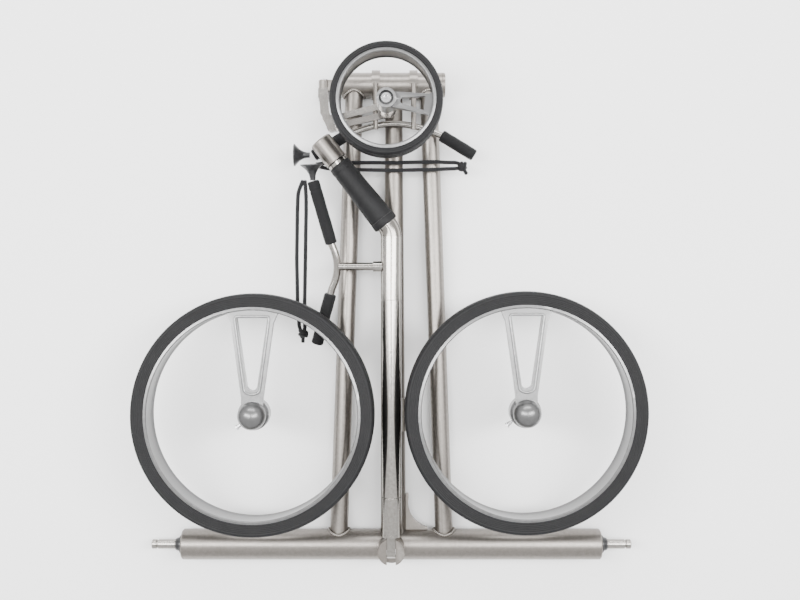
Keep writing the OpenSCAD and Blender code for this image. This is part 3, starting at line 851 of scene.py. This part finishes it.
@dataclass(frozen=True)
class BraidedCord:
    """Woven cover of an elastic cord."""

    colour: tuple[float, float, float] = (0.006, 0.006, 0.007)

    def build(self, name: str, groups: GroupShop) -> bpy.types.Material:
        """Builds the material.

        Args:
            name: Name of the material.
            groups: Where its shared groups come from.

        Returns:
            The material.
        """
        paint = Paint(name, groups)
        braid = paint.use("braid", Turns=4.0, Pitch=2.0)
        cloud = paint.use("clouding", Scale=60.0, Amount=0.5)
        base = paint.tint(self.colour, cloud.outputs["Tone"])
        paint.colour(paint.mix(braid.outputs["Gap"], base, (0.006, 0.006, 0.007)))
        paint.rough(0.5, 0.8, braid.outputs["Gap"])
        paint.bump(braid.outputs["Height"], 0.0006, 0.9)
        paint.fix(Sheen_Weight=0.05, Sheen_Roughness=0.5, Specular_IOR_Level=0.25)
        return paint.material


@dataclass(frozen=True)
class Plain:
    """Smooth plastic or plain steel, with tone, smudges and worn edges."""

    colour: tuple[float, float, float] = (0.012, 0.012, 0.013)
    metallic: float = 0.0
    low: float = 0.28
    high: float = 0.45

    def build(self, name: str, groups: GroupShop) -> bpy.types.Material:
        """Builds the material.

        Args:
            name: Name of the material.
            groups: Where its shared groups come from.

        Returns:
            The material.
        """
        paint = Paint(name, groups)
        cloud = paint.use("clouding", Scale=45.0, Amount=0.2)
        grain = paint.use("blasted", Scale=3400.0)
        wear = paint.use("edge_wear", Width=0.07, Breakup=320.0)
        base = paint.tint(self.colour, cloud.outputs["Tone"])
        worn = tuple(min(1.0, c * 1.5 + 0.02) for c in self.colour)
        paint.colour(paint.mix(wear.outputs["Mask"], base, worn))
        paint.rough(self.low, self.high, cloud.outputs["Smudge"])
        paint.bump(grain.outputs["Height"], 0.00001, 0.4)
        paint.fix(Metallic=self.metallic)
        return paint.material


class Finishes:
    """Every material of the trolley, by a short name."""

    def __init__(self, groups: GroupShop) -> None:
        """Builds the materials from their finishes."""
        kinds = {
            "satin_titanium": BlastedMetal(),
            "polished_titanium": BrushedMetal(),
            "polished_cross": BrushedMetal(axis=Axis.X, colour=(0.26, 0.245, 0.23), low=0.14, high=0.22),
            "cast_silver": SilverPaint(),
            "steel": Plain(colour=(0.62, 0.62, 0.63), metallic=1.0, low=0.18, high=0.34),
            "tyre_rubber": SoftBlack(colour=(0.0035, 0.0035, 0.004), grain=1500.0, depth=0.00004, dust=0.3,
                                     low=0.5, high=0.72, gloss=0.25),
            "foam": SoftBlack(colour=(0.0045, 0.0045, 0.005), grain=1700.0, depth=0.00008, dust=0.2,
                              low=0.7, high=0.9, sheen=0.15),
            "grip_leather": SoftBlack(colour=(0.005, 0.005, 0.0055), grain=1100.0, depth=0.00012, dust=0.12,
                                      low=0.42, high=0.7),
            "thread": SoftBlack(colour=(0.018, 0.018, 0.018), grain=3000.0, depth=0.00005, dust=0.1),
            "cord": BraidedCord(),
            "black_plastic": Plain(),
            "motor_case": Plain(colour=(0.16, 0.16, 0.17), metallic=0.9, low=0.35, high=0.5),
            "weld": BlastedMetal(colour=(0.20, 0.185, 0.165), low=0.3, high=0.44, depth=0.00002),
        }
        self.made = {name: kind.build(name, groups) for name, kind in kinds.items()}

    def dress(self, thing: bpy.types.Object, name: str) -> None:
        """Gives an object one finish in all of its slots."""
        if not thing.material_slots:
            thing.data.materials.append(self.made[name])
        for slot in thing.material_slots:
            slot.material = self.made[name]


# ---- sub-assemblies -----------------------------------------------------------------


@dataclass
class Bench:
    """What every sub-assembly works with."""

    shop: MeshShop
    finishes: Finishes

    def keep(self, node: str, finish: str, edge: float = 0.0004, segments: int = 2) -> None:
        """Keeps a CAD node, with rounded edges and a finish.

        Args:
            node: Name of the CAD node.
            finish: Name of the finish.
            edge: Width of the edge rounding, in metres.
            segments: Steps of the rounding.
        """
        thing = frame["nodes"][node]
        self.finishes.dress(thing, finish)
        self.shop.round_edges(thing, edge, segments)
        log.info("kept %s as %s", node, finish)

    def fit(self, thing: bpy.types.Object, finish: str, slot: str, body: str,
            *nodes: str) -> bpy.types.Object:
        """Finishes a new piece and puts it on its body.

        Args:
            thing: The piece.
            finish: Name of the finish.
            slot: The record's material slot; not used.
            body: The CAD body that it rides on.
            *nodes: CAD nodes that it stands for.

        Returns:
            The piece.
        """
        self.finishes.dress(thing, finish)
        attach(thing, body)
        if nodes:
            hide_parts(*nodes)
        log.info("built %s on %s", thing.name, body)
        return thing


@dataclass
class Tyre:
    """A solid rubber tyre with fine rings on both faces."""

    bench: Bench
    node: str
    body: str
    ring_pitch: float = 2.0 * MM
    ring_depth: float = 0.55 * MM
    shoulder: float = 5.0 * MM
    tread_grooves: int = 4

    def section(self, inner: float, outer: float, half: float) -> list[tuple[float, float]]:
        """Half section of the tyre, from the rim's edge over the tread and back.

        Args:
            inner: Radius at the rim.
            outer: Radius of the tread.
            half: Half of the width.

        Returns:
            Radius and height of each point.
        """
        face = []
        steps = max(12, int((outer - inner - self.shoulder) / self.ring_pitch) * 4)
        for i in range(steps + 1):
            r = inner + (outer - inner - self.shoulder) * i / steps
            wave = 0.5 + 0.5 * math.cos(2 * math.pi * (r - inner) / self.ring_pitch)
            face.append((r, half - 0.35 * MM - wave * self.ring_depth))
        turn = []
        for i in range(1, 8):
            a = math.pi / 2 * i / 8
            turn.append((outer - self.shoulder + math.sin(a) * (self.shoulder - 0.6 * MM),
                         half - 0.3 * MM - (1 - math.cos(a)) * self.shoulder))
        tread = []
        span = half - self.shoulder - 0.3 * MM
        count = self.tread_grooves * 12
        for i in range(count + 1):
            z = span * (1 - 2 * i / count)
            wave = max(0.0, math.cos(2 * math.pi * self.tread_grooves * i / count)) ** 6
            crown = 0.5 * MM * (z / span) ** 2
            tread.append((outer - crown - wave * 0.7 * MM, z))
        upper = face + turn
        return upper + tread + [(r, -z) for r, z in reversed(upper)]

    def build(self) -> None:
        """Turns the tyre and puts it in the CAD tyre's place."""
        low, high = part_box(self.node)
        centre, outer, half = (low + high) / 2, (high.x - low.x) / 2, (high.z - low.z) / 2
        points = corners(self.node) - np.array(centre)
        inner = float(np.hypot(points[:, 0], points[:, 1]).min())
        self.bench.shop.steps = 192
        thing = self.bench.shop.lathe(f"{self.node}_rubber", self.section(inner, outer - 0.05 * MM, half),
                                      Matrix.Translation(centre))
        self.bench.shop.steps = 96
        self.bench.fit(thing, "tyre_rubber", "tyre_rubber", self.body, self.node)


@dataclass
class FoamSleeve:
    """A foam sleeve pushed over a rod, with rounded ends and a moulding line."""

    bench: Bench
    node: str
    body: str
    end_round: float = 2.4 * MM
    seam_at: float = 0.9
    seam_depth: float = 0.55 * MM

    def build(self) -> None:
        """Turns the sleeve along the CAD sleeve's own axis."""
        rod = measure_rod(self.node)
        radius, length = rod.radius - 0.15 * MM, rod.length

        def bumpy(angle: float, z: float) -> float:
            """Slight unevenness of cut foam."""
            return -0.12 * MM * (1 + math.sin(3 * angle + z * 140) * math.sin(z * 310 + angle))

        profile = [(0.0, 0.0)]
        for i in range(7):
            a = math.pi / 2 * i / 6
            profile.append((radius - self.end_round * (1 - math.sin(a)), self.end_round * (1 - math.cos(a))))
        count = 60
        for i in range(1, count):
            z = self.end_round + (length - 2 * self.end_round) * i / count
            dip = self.seam_depth * math.exp(-((z - length * self.seam_at) / (0.7 * MM)) ** 2)
            profile.append((radius - dip, z))
        for i in range(7):
            a = math.pi / 2 * (6 - i) / 6
            profile.append((radius - self.end_round * (1 - math.sin(a)),
                            length - self.end_round * (1 - math.cos(a))))
        profile.append((0.0, length))
        thing = self.bench.shop.lathe(f"{self.node}_sleeve", profile, rod.place, bumpy, ring=False)
        self.bench.fit(thing, "foam", "foam", self.body, self.node)


@dataclass
class Grip:
    """The handle's sewn grip: flared hem at the mast, tapered body, collar at the knob."""

    bench: Bench
    body: str = "mast_top"
    stitch_pitch: float = 3.2 * MM
    stitch_thick: float = 0.42 * MM
    taper_at: tuple[float, ...] = (0.13, 0.25, 0.45, 0.65, 0.87)
    taper_drop: tuple[float, ...] = (0.55, 0.75, 1.25, 1.75, 2.1)

    def build(self) -> None:
        """Turns the grip and sews its hem and its seam."""
        way = joint("speed_turn")["axis"]
        rod = measure_rod("grip_sleeve", way, middle_of("speed_knob"))
        reach, length = rod.radius, rod.length
        outline = [(0.0, -0.1), (0.012, 0.2), (0.035, 0.05), (0.06, 0.0), (0.09, 0.35), (0.11, 0.75),
                   (0.13, 0.55), (0.25, 0.75), (0.45, 1.25), (0.65, 1.75), (0.85, 2.1), (0.9, 2.45),
                   (0.915, 2.1), (0.955, 2.05), (0.97, 2.5), (0.985, 2.3), (1.0, 3.0)]
        curve = smooth_route([Vector((reach - 0.15 * MM - drop * MM, 0, share * length))
                              for share, drop in outline[1:-1]], 6)
        profile = [(reach - 3.2 * MM, 0.0)] + [(min(p.x, reach - 0.1 * MM), p.z) for p in curve]
        profile += [(reach - 3.2 * MM, length), (reach - 3.3 * MM, length * 0.5)]

        def soft(angle: float, z: float) -> float:
            """Faint hand-worn waviness."""
            return 0.1 * MM * (math.sin(2 * angle + z * 60) - 1)

        thing = self.bench.shop.lathe("grip_cover", profile, rod.place, soft)
        self.bench.fit(thing, "grip_leather", "grip_leather", self.body, "grip_sleeve")
        self.sew(rod, reach, length)

    def sew(self, rod: Rod, reach: float, length: float) -> None:
        """Sews a ring of stitches at the hem and a straight seam under the grip.

        Args:
            rod: The grip's own line.
            reach: Radius at the hem.
            length: Length of the grip.
        """
        stitches = []
        ring_r, ring_z = reach - 0.75 * MM, length * 0.1
        count = int(2 * math.pi * ring_r / self.stitch_pitch)
        for k in range(count):
            arc = [(k + 0.14 + 0.72 * t / 4) * 2 * math.pi / count for t in range(5)]
            lift = [0.0, 0.22, 0.3, 0.22, 0.0]
            spots = [(ring_r + h * MM, a) for a, h in zip(arc, lift)]
            route = [rod.place @ Vector((r * math.cos(a), r * math.sin(a), ring_z)) for r, a in spots]
            stitches.append(self.bench.shop.tube(f"stitch_{k}", route, self.stitch_thick, 6))
        down = rod.place.to_3x3().inverted() @ Vector((0, 0, -1))
        under = math.atan2(down.y, down.x)
        rows = int(length * 0.72 / self.stitch_pitch)
        for k in range(rows):
            z0 = length * 0.15 + k * self.stitch_pitch
            route = []
            for t in range(5):
                z = z0 + self.stitch_pitch * (0.14 + 0.72 * t / 4)
                drop = np.interp(z / length, self.taper_at, self.taper_drop) * MM
                r = reach - 0.35 * MM - drop + [0.0, 0.2, 0.28, 0.2, 0.0][t] * MM
                route.append(rod.place @ Vector((r * math.cos(under), r * math.sin(under), z)))
            stitches.append(self.bench.shop.tube(f"seam_{k}", route, self.stitch_thick, 6))
        self.bench.fit(self.bench.shop.join("grip_stitches", stitches), "thread", "grip_leather", self.body)


@dataclass
class Bungee:
    """Two elastic strands between a toggle and a knot, with the knot itself."""

    bench: Bench
    cord_node: str
    knot_node: str
    body: str
    along: Axis
    stations: int = 14
    wraps: float = 2.6
    wrap_steps: int = 72
    radius: float = 2.35 * MM
    ball: float = 6.6 * MM

    def strands(self) -> list[list[Vector]]:
        """Centre line of each strand, measured on the CAD cord.

        Returns:
            One route for each strand, from low to high along the axis.
        """
        points = corners(self.cord_node)
        ends = np.array([tuple(e.vertices) for e in frame["nodes"][self.cord_node].data.edges])
        p, q = points[ends[:, 0]], points[ends[:, 1]]
        axis = self.along.value
        side = 1 - axis
        low, high = points[:, axis].min(), points[:, axis].max()
        routes: list[list[Vector]] = [[], []]
        for i in range(self.stations):
            level = low + (high - low) * (0.02 + 0.96 * i / (self.stations - 1))
            crossing = (p[:, axis] - level) * (q[:, axis] - level) < 0
            a, b = p[crossing], q[crossing]
            share = (level - a[:, axis]) / (b[:, axis] - a[:, axis])
            hits = a + (b - a) * share[:, None]
            spot = Vector((hits.min(0) + hits.max(0)) / 2)
            edges = (hits[:, side].min() + self.radius, hits[:, side].max() - self.radius)
            for route, place in zip(routes, edges):
                centre = spot.copy()
                centre[side] = place
                route.append(centre)
        return routes

    def build(self) -> None:
        """Builds the strands and the knot."""
        routes = self.strands()
        heart = self.knot_heart(routes)
        for route in routes:
            if (route[0] - heart).length < (route[-1] - heart).length:
                route.reverse()
            route.append(heart)
        parts = [self.bench.shop.tube(f"{self.cord_node}_{i}", smooth_route(route, 8), self.radius, 16)
                 for i, route in enumerate(routes)]
        self.bench.fit(self.bench.shop.join(f"{self.cord_node}_braid", parts), "cord", "cord", self.body,
                       self.cord_node)
        self.tie(heart)

    def knot_heart(self, routes: list[list[Vector]]) -> Vector:
        """Centre of the CAD knot's ball, next to the strands' ends.

        Args:
            routes: The strands' centre lines.

        Returns:
            The point that the strands run to.
        """
        low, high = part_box(self.knot_node)
        box_middle = (low + high) / 2
        ends = [min(route, key=lambda p: (p - box_middle).length) for route in routes]
        near = (ends[0] + ends[1]) / 2
        heart = Vector((0, 0, 0))
        for i in range(3):
            margin = min(self.ball, (high[i] - low[i]) / 2)
            heart[i] = min(max(near[i], low[i] + margin), high[i] - margin)
        return heart

    def tie(self, heart: Vector) -> None:
        """Builds the knot as cord wrapped round itself, with its cut tail.

        Args:
            heart: Centre of the knot.
        """
        radius, shop = self.radius, self.bench.shop
        reach = Vector(max(corners(self.knot_node), key=lambda p: (Vector(p) - heart).length))
        tail_way = (reach - heart).normalized()
        inward, up = Vector((0, 0, 0)), Vector((0, 0, 1))
        inward[self.along.value] = 1.0
        side = inward.cross(up).normalized()
        wrap_r = self.ball - radius - 0.1 * MM
        route = []
        for i in range(self.wrap_steps):
            share = i / self.wrap_steps
            a = 2 * math.pi * self.wraps * share
            slide = (share - 0.5) * 5.4 * MM + 1.1 * MM * math.sin(a * 0.5)
            route.append(heart + inward * slide + (side * math.cos(a) + up * math.sin(a))
                         * (wrap_r - 0.8 * MM * abs(share - 0.5)))
        parts = [shop.tube(f"{self.knot_node}_wrap", route, radius * 0.97, 14)]
        cross = [heart - inward * 4.2 * MM - side * 2.2 * MM, heart - inward * 1.6 * MM + up * 2.6 * MM,
                 heart + inward * 1.6 * MM + up * 2.9 * MM, heart + inward * 4.2 * MM + side * 2.2 * MM]
        parts.append(shop.tube(f"{self.knot_node}_cross", smooth_route(cross, 8), radius * 0.95, 14))
        length = (reach - heart).length - 1.6 * MM
        tail = [heart, heart + tail_way * length * 0.5, heart + tail_way * length]
        parts.append(shop.tube(f"{self.knot_node}_tail", smooth_route(tail, 8), radius * 0.95, 14))
        self.bench.fit(shop.join(f"{self.knot_node}_tied", parts), "cord", "cord", self.body, self.knot_node)


@dataclass
class Weld:
    """A rippled weld bead where one tube meets another."""

    bench: Bench
    name: str
    body: str
    bead: float = 1.5 * MM
    ripple: float = 0.28 * MM
    pitch: float = 2.2 * MM

    def run(self, pipe: Rod, into: Rod) -> None:
        """Lays the bead along the line where pipe enters into.

        Args:
            pipe: The tube that ends on the other.
            into: The tube that it ends on.
        """
        way = (pipe.end - pipe.start).normalized()
        axis = (into.end - into.start).normalized()
        u = way.orthogonal().normalized()
        v = way.cross(u)
        route = []
        count = 240
        for k in range(count):
            a = 2 * math.pi * k / count
            p = pipe.start + (u * math.cos(a) + v * math.sin(a)) * pipe.radius
            offset = p - into.start
            m, n = way - axis * way.dot(axis), offset - axis * offset.dot(axis)
            qa, qb, qc = m.dot(m), 2 * m.dot(n), n.dot(n) - (into.radius + 0.2 * MM) ** 2
            root = qb * qb - 4 * qa * qc
            if root < 0:
                continue
            ways = [(-qb + s * math.sqrt(root)) / (2 * qa) for s in (-1, 1)]
            t = min(ways, key=lambda w: (p + way * w - pipe.end).length)
            route.append(p + way * t)
        if len(route) < count // 2:
            log.warning("weld %s found no line", self.name)
            return
        length = sum((route[i] - route[i - 1]).length for i in range(1, len(route)))
        ripples = max(8, round(length / self.pitch))

        def size(share: float) -> float:
            """Bead radius along the run."""
            return self.bead + self.ripple * math.sin(2 * math.pi * ripples * share)

        thing = self.bench.shop.tube(self.name, route, size, 10, loop=True)
        self.bench.fit(thing, "weld", "satin_titanium", self.body)


@dataclass
class FrameAssembly:
    """Cross tube, legs, centre tube, top tube, hinge and lower bag rest."""

    bench: Bench

    def build(self) -> None:
        """Dresses the frame's CAD nodes and adds welds and foam."""
        for node in ("left_leg", "right_leg", "centre_tube", "centre_gusset", "hinge_cheeks", "swing_lug",
                     "cradle_saddles", "top_cap"):
            self.bench.keep(node, "satin_titanium", 0.6 * MM)
        self.bench.keep("crossbar_tube", "satin_titanium", 0.8 * MM)
        self.bench.keep("top_tube", "satin_titanium", 0.8 * MM)
        self.bench.keep("centre_sleeve", "polished_titanium", 0.5 * MM)
        self.bench.keep("cradle_frame", "polished_cross", 0.2 * MM)
        for node in ("hinge_pin", "swing_pin", "motor_screws"):
            self.bench.keep(node, "steel", 0.4 * MM)
        for node in ("left_end_seal", "right_end_seal"):
            self.bench.keep(node, "black_plastic", 0.5 * MM)
        for node in ("left_motor", "right_motor"):
            self.bench.keep(node, "motor_case", 0.5 * MM)
        for node in ("left_cradle_foam", "right_cradle_foam"):
            FoamSleeve(self.bench, node, "chassis", seam_at=0.94).build()
        self.bench.keep("cradle_toggle", "black_plastic", 0.5 * MM, 3)
        Bungee(self.bench, "cradle_bungee", "cradle_knot", "chassis", Axis.X).build()
        self.weld_up()

    def weld_up(self) -> None:
        """Welds the legs to the cross tube and the top tube."""
        cross = measure_rod("crossbar_tube", (1, 0, 0))
        top = measure_rod("top_tube", (1, 0, 0))
        for side in ("left", "right"):
            leg = measure_rod(f"{side}_leg", towards=middle_of("top_tube"))
            foot = Rod(leg.end, leg.start, self.leg_radius(side))
            head = Rod(leg.start, leg.end, self.leg_radius(side))
            Weld(self.bench, f"{side}_leg_foot_weld", "chassis").run(foot, cross)
            Weld(self.bench, f"{side}_leg_head_weld", "chassis").run(head, top)

    @staticmethod
    def leg_radius(side: str) -> float:
        """Half of a leg's height, which its slant doesn't change."""
        low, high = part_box(f"{side}_leg")
        return (high.z - low.z) / 2


@dataclass
class MastAssembly:
    """Folding mast with its foot, sliding tubes, grip and knob."""

    bench: Bench

    def build(self) -> None:
        """Dresses the mast's CAD nodes and makes the grip."""
        for node in ("mast_foot", "mast_lower_tube", "mast_mid_tube", "mast_upper_tube"):
            self.bench.keep(node, "polished_titanium", 0.35 * MM)
        self.bench.keep("mast_inner_tube", "satin_titanium", 0.3 * MM)
        self.bench.keep("speed_knob", "satin_titanium", 0.6 * MM, 3)
        self.bench.keep("dial_spindle", "steel", 0.3 * MM)
        self.bench.keep("rest_collar", "polished_cross", 0.5 * MM)
        Grip(self.bench).build()


@dataclass
class UpperRestAssembly:
    """Upper bag rest: bent rod, foam sleeves, bungee, knot and toggle."""

    bench: Bench

    def build(self) -> None:
        """Dresses the rod and makes the soft pieces."""
        self.bench.keep("rest_arm", "polished_titanium", 0.2 * MM)
        FoamSleeve(self.bench, "upper_foam", "upper_rest", seam_at=0.86).build()
        FoamSleeve(self.bench, "lower_foam", "upper_rest", seam_at=0.9).build()
        self.bench.keep("rest_toggle", "black_plastic", 0.5 * MM, 3)
        Bungee(self.bench, "rest_bungee", "rest_knot", "upper_rest", Axis.Y).build()


@dataclass
class DriveWheelAssembly:
    """One drive wheel with its tyre, rim, hub, release pin and shaft."""

    bench: Bench
    side: str
    rib: float = 1.5 * MM
    rib_drop: float = 3.9 * MM
    rib_near: tuple[float, float] = (8.8 * MM, 27.0 * MM)
    rib_far: tuple[float, float] = (20.4 * MM, 115.0 * MM)

    def build(self) -> None:
        """Dresses the wheel's CAD nodes and makes its tyre."""
        Tyre(self.bench, f"{self.side}_tyre", f"{self.side}_wheel").build()
        self.bench.keep(f"{self.side}_rim", "cast_silver", 0.9 * MM, 3)
        self.bench.keep(f"{self.side}_hub_ball", "cast_silver", 0.4 * MM)
        self.bench.keep(f"{self.side}_hub_sleeve", "steel", 0.3 * MM)
        self.bench.keep(f"{self.side}_release_pin", "steel", 0.3 * MM)
        self.bench.keep(f"{self.side}_pin_spring", "steel", 0.1 * MM)
        self.bench.keep(f"{self.side}_shaft", "polished_cross", 0.4 * MM)
        self.cast_rib()

    def cast_rib(self) -> None:
        """Raises the rounded rib of the casting round the spoke's window."""
        low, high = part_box(f"{self.side}_tyre")
        hub = Vector(((low.x + high.x) / 2, (low.y + high.y) / 2, high.z - self.rib_drop))
        near, far = self.rib_near, self.rib_far
        corners_of_window = [(-near[0], near[1]), (0.0, near[1] - 3.2 * MM), near, far, (-far[0], far[1])]
        points = [hub + Vector((x, y, 0)) for x, y in corners_of_window]
        route = []
        for i, point in enumerate(points):
            before, after = points[i - 1], points[(i + 1) % len(points)]
            start = point + (before - point) * min(0.3, 5 * MM / (before - point).length)
            end = point + (after - point) * min(0.3, 5 * MM / (after - point).length)
            for k in range(7):
                t = k / 6
                route.append(start * (1 - t) ** 2 + point * 2 * t * (1 - t) + end * t * t)
        thing = self.bench.shop.tube(f"{self.side}_spoke_rib", route, self.rib, 12, loop=True)
        self.bench.fit(thing, "cast_silver", "cast_silver", f"{self.side}_wheel")


@dataclass
class FrontWheelAssembly:
    """Front wheel on its swinging arm."""

    bench: Bench

    def build(self) -> None:
        """Dresses the arm and the wheel and makes the tyre."""
        self.bench.keep("swing_arm", "polished_cross", 0.7 * MM)
        self.bench.keep("front_axle", "steel", 0.4 * MM)
        self.bench.keep("front_bearings", "black_plastic", 0.4 * MM)
        self.bench.keep("front_rim", "cast_silver", 0.7 * MM, 3)
        Tyre(self.bench, "front_tyre", "front_wheel", shoulder=4.0 * MM).build()


@dataclass
class Studio:
    """Camera, floor, world and soft lights."""

    eye: tuple[float, float, float] = (0.0105, 0.300, 1.150)
    lens: float = 41.4
    film: float = 36.0
    floor_size: float = 14.0
    floor_gap: float = 0.0005
    air_strength: float = 1.5

    def place_camera(self) -> None:
        """Makes the camera that looks straight down on the trolley."""
        data = bpy.data.cameras.new("camera")
        data.lens, data.sensor_width = self.lens, self.film
        data.clip_start, data.clip_end = 0.05, 60.0
        camera = bpy.data.objects.new("camera", data)
        camera.location = self.eye
        bpy.context.scene.collection.objects.link(camera)
        bpy.context.scene.camera = camera

    def light(self, name: str, place: tuple[float, float, float], aim: tuple[float, float, float],
              size: tuple[float, float], power: float) -> None:
        """Adds one soft rectangular light.

        Args:
            name: Name of the light.
            place: Where it hangs.
            aim: The point that it faces.
            size: Width and height.
            power: Power in watts.
        """
        data = bpy.data.lights.new(name, "AREA")
        data.shape, data.size, data.size_y, data.energy = "RECTANGLE", size[0], size[1], power
        lamp = bpy.data.objects.new(name, data)
        lamp.location = place
        lamp.rotation_euler = (Vector(aim) - Vector(place)).to_track_quat("-Z", "Y").to_euler()
        bpy.context.scene.collection.objects.link(lamp)

    def build(self) -> None:
        """Lays the floor and hangs the lights."""
        low, _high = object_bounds()
        half = self.floor_size / 2
        mesh = bpy.data.meshes.new("floor")
        square = [(-half, -half, 0), (half, -half, 0), (half, half, 0), (-half, half, 0)]
        mesh.from_pydata(square, [], [(0, 1, 2, 3)])
        floor = bpy.data.objects.new("floor", mesh)
        floor.location = (0, 0, low[2] - self.floor_gap)
        bpy.context.scene.collection.objects.link(floor)
        paint = bpy.data.materials.new("floor_white")
        paint.use_nodes = True
        shader = paint.node_tree.nodes["Principled BSDF"]
        shader.inputs["Base Color"].default_value = (0.93, 0.93, 0.93, 1.0)
        shader.inputs["Roughness"].default_value = 0.9
        mesh.materials.append(paint)
        floor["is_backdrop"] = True
        world = bpy.data.worlds.new("studio_air")
        world.use_nodes = True
        world.node_tree.nodes["Background"].inputs["Color"].default_value = (1.0, 1.0, 1.0, 1.0)
        world.node_tree.nodes["Background"].inputs["Strength"].default_value = self.air_strength
        bpy.context.scene.world = world
        middle = (0.0, 0.28, 0.05)
        self.light("overhead_left", (-1.0, 0.5, 1.9), middle, (0.55, 1.8), 62.0)
        self.light("overhead_right", (1.0, 0.5, 1.9), middle, (0.55, 1.8), 62.0)
        self.light("head_end", (0.0, 2.2, 1.3), middle, (2.2, 0.5), 44.0)


def main() -> None:
    """Builds the scene and reports each piece."""
    logging.basicConfig(level=logging.INFO, format="%(name)s: %(message)s")
    studio = Studio()
    studio.place_camera()
    bench = Bench(MeshShop(), Finishes(GroupShop()))
    FrameAssembly(bench).build()
    MastAssembly(bench).build()
    UpperRestAssembly(bench).build()
    for side in ("left", "right"):
        DriveWheelAssembly(bench, side).build()
    FrontWheelAssembly(bench).build()
    studio.build()


if __name__ == "__main__":
    main()
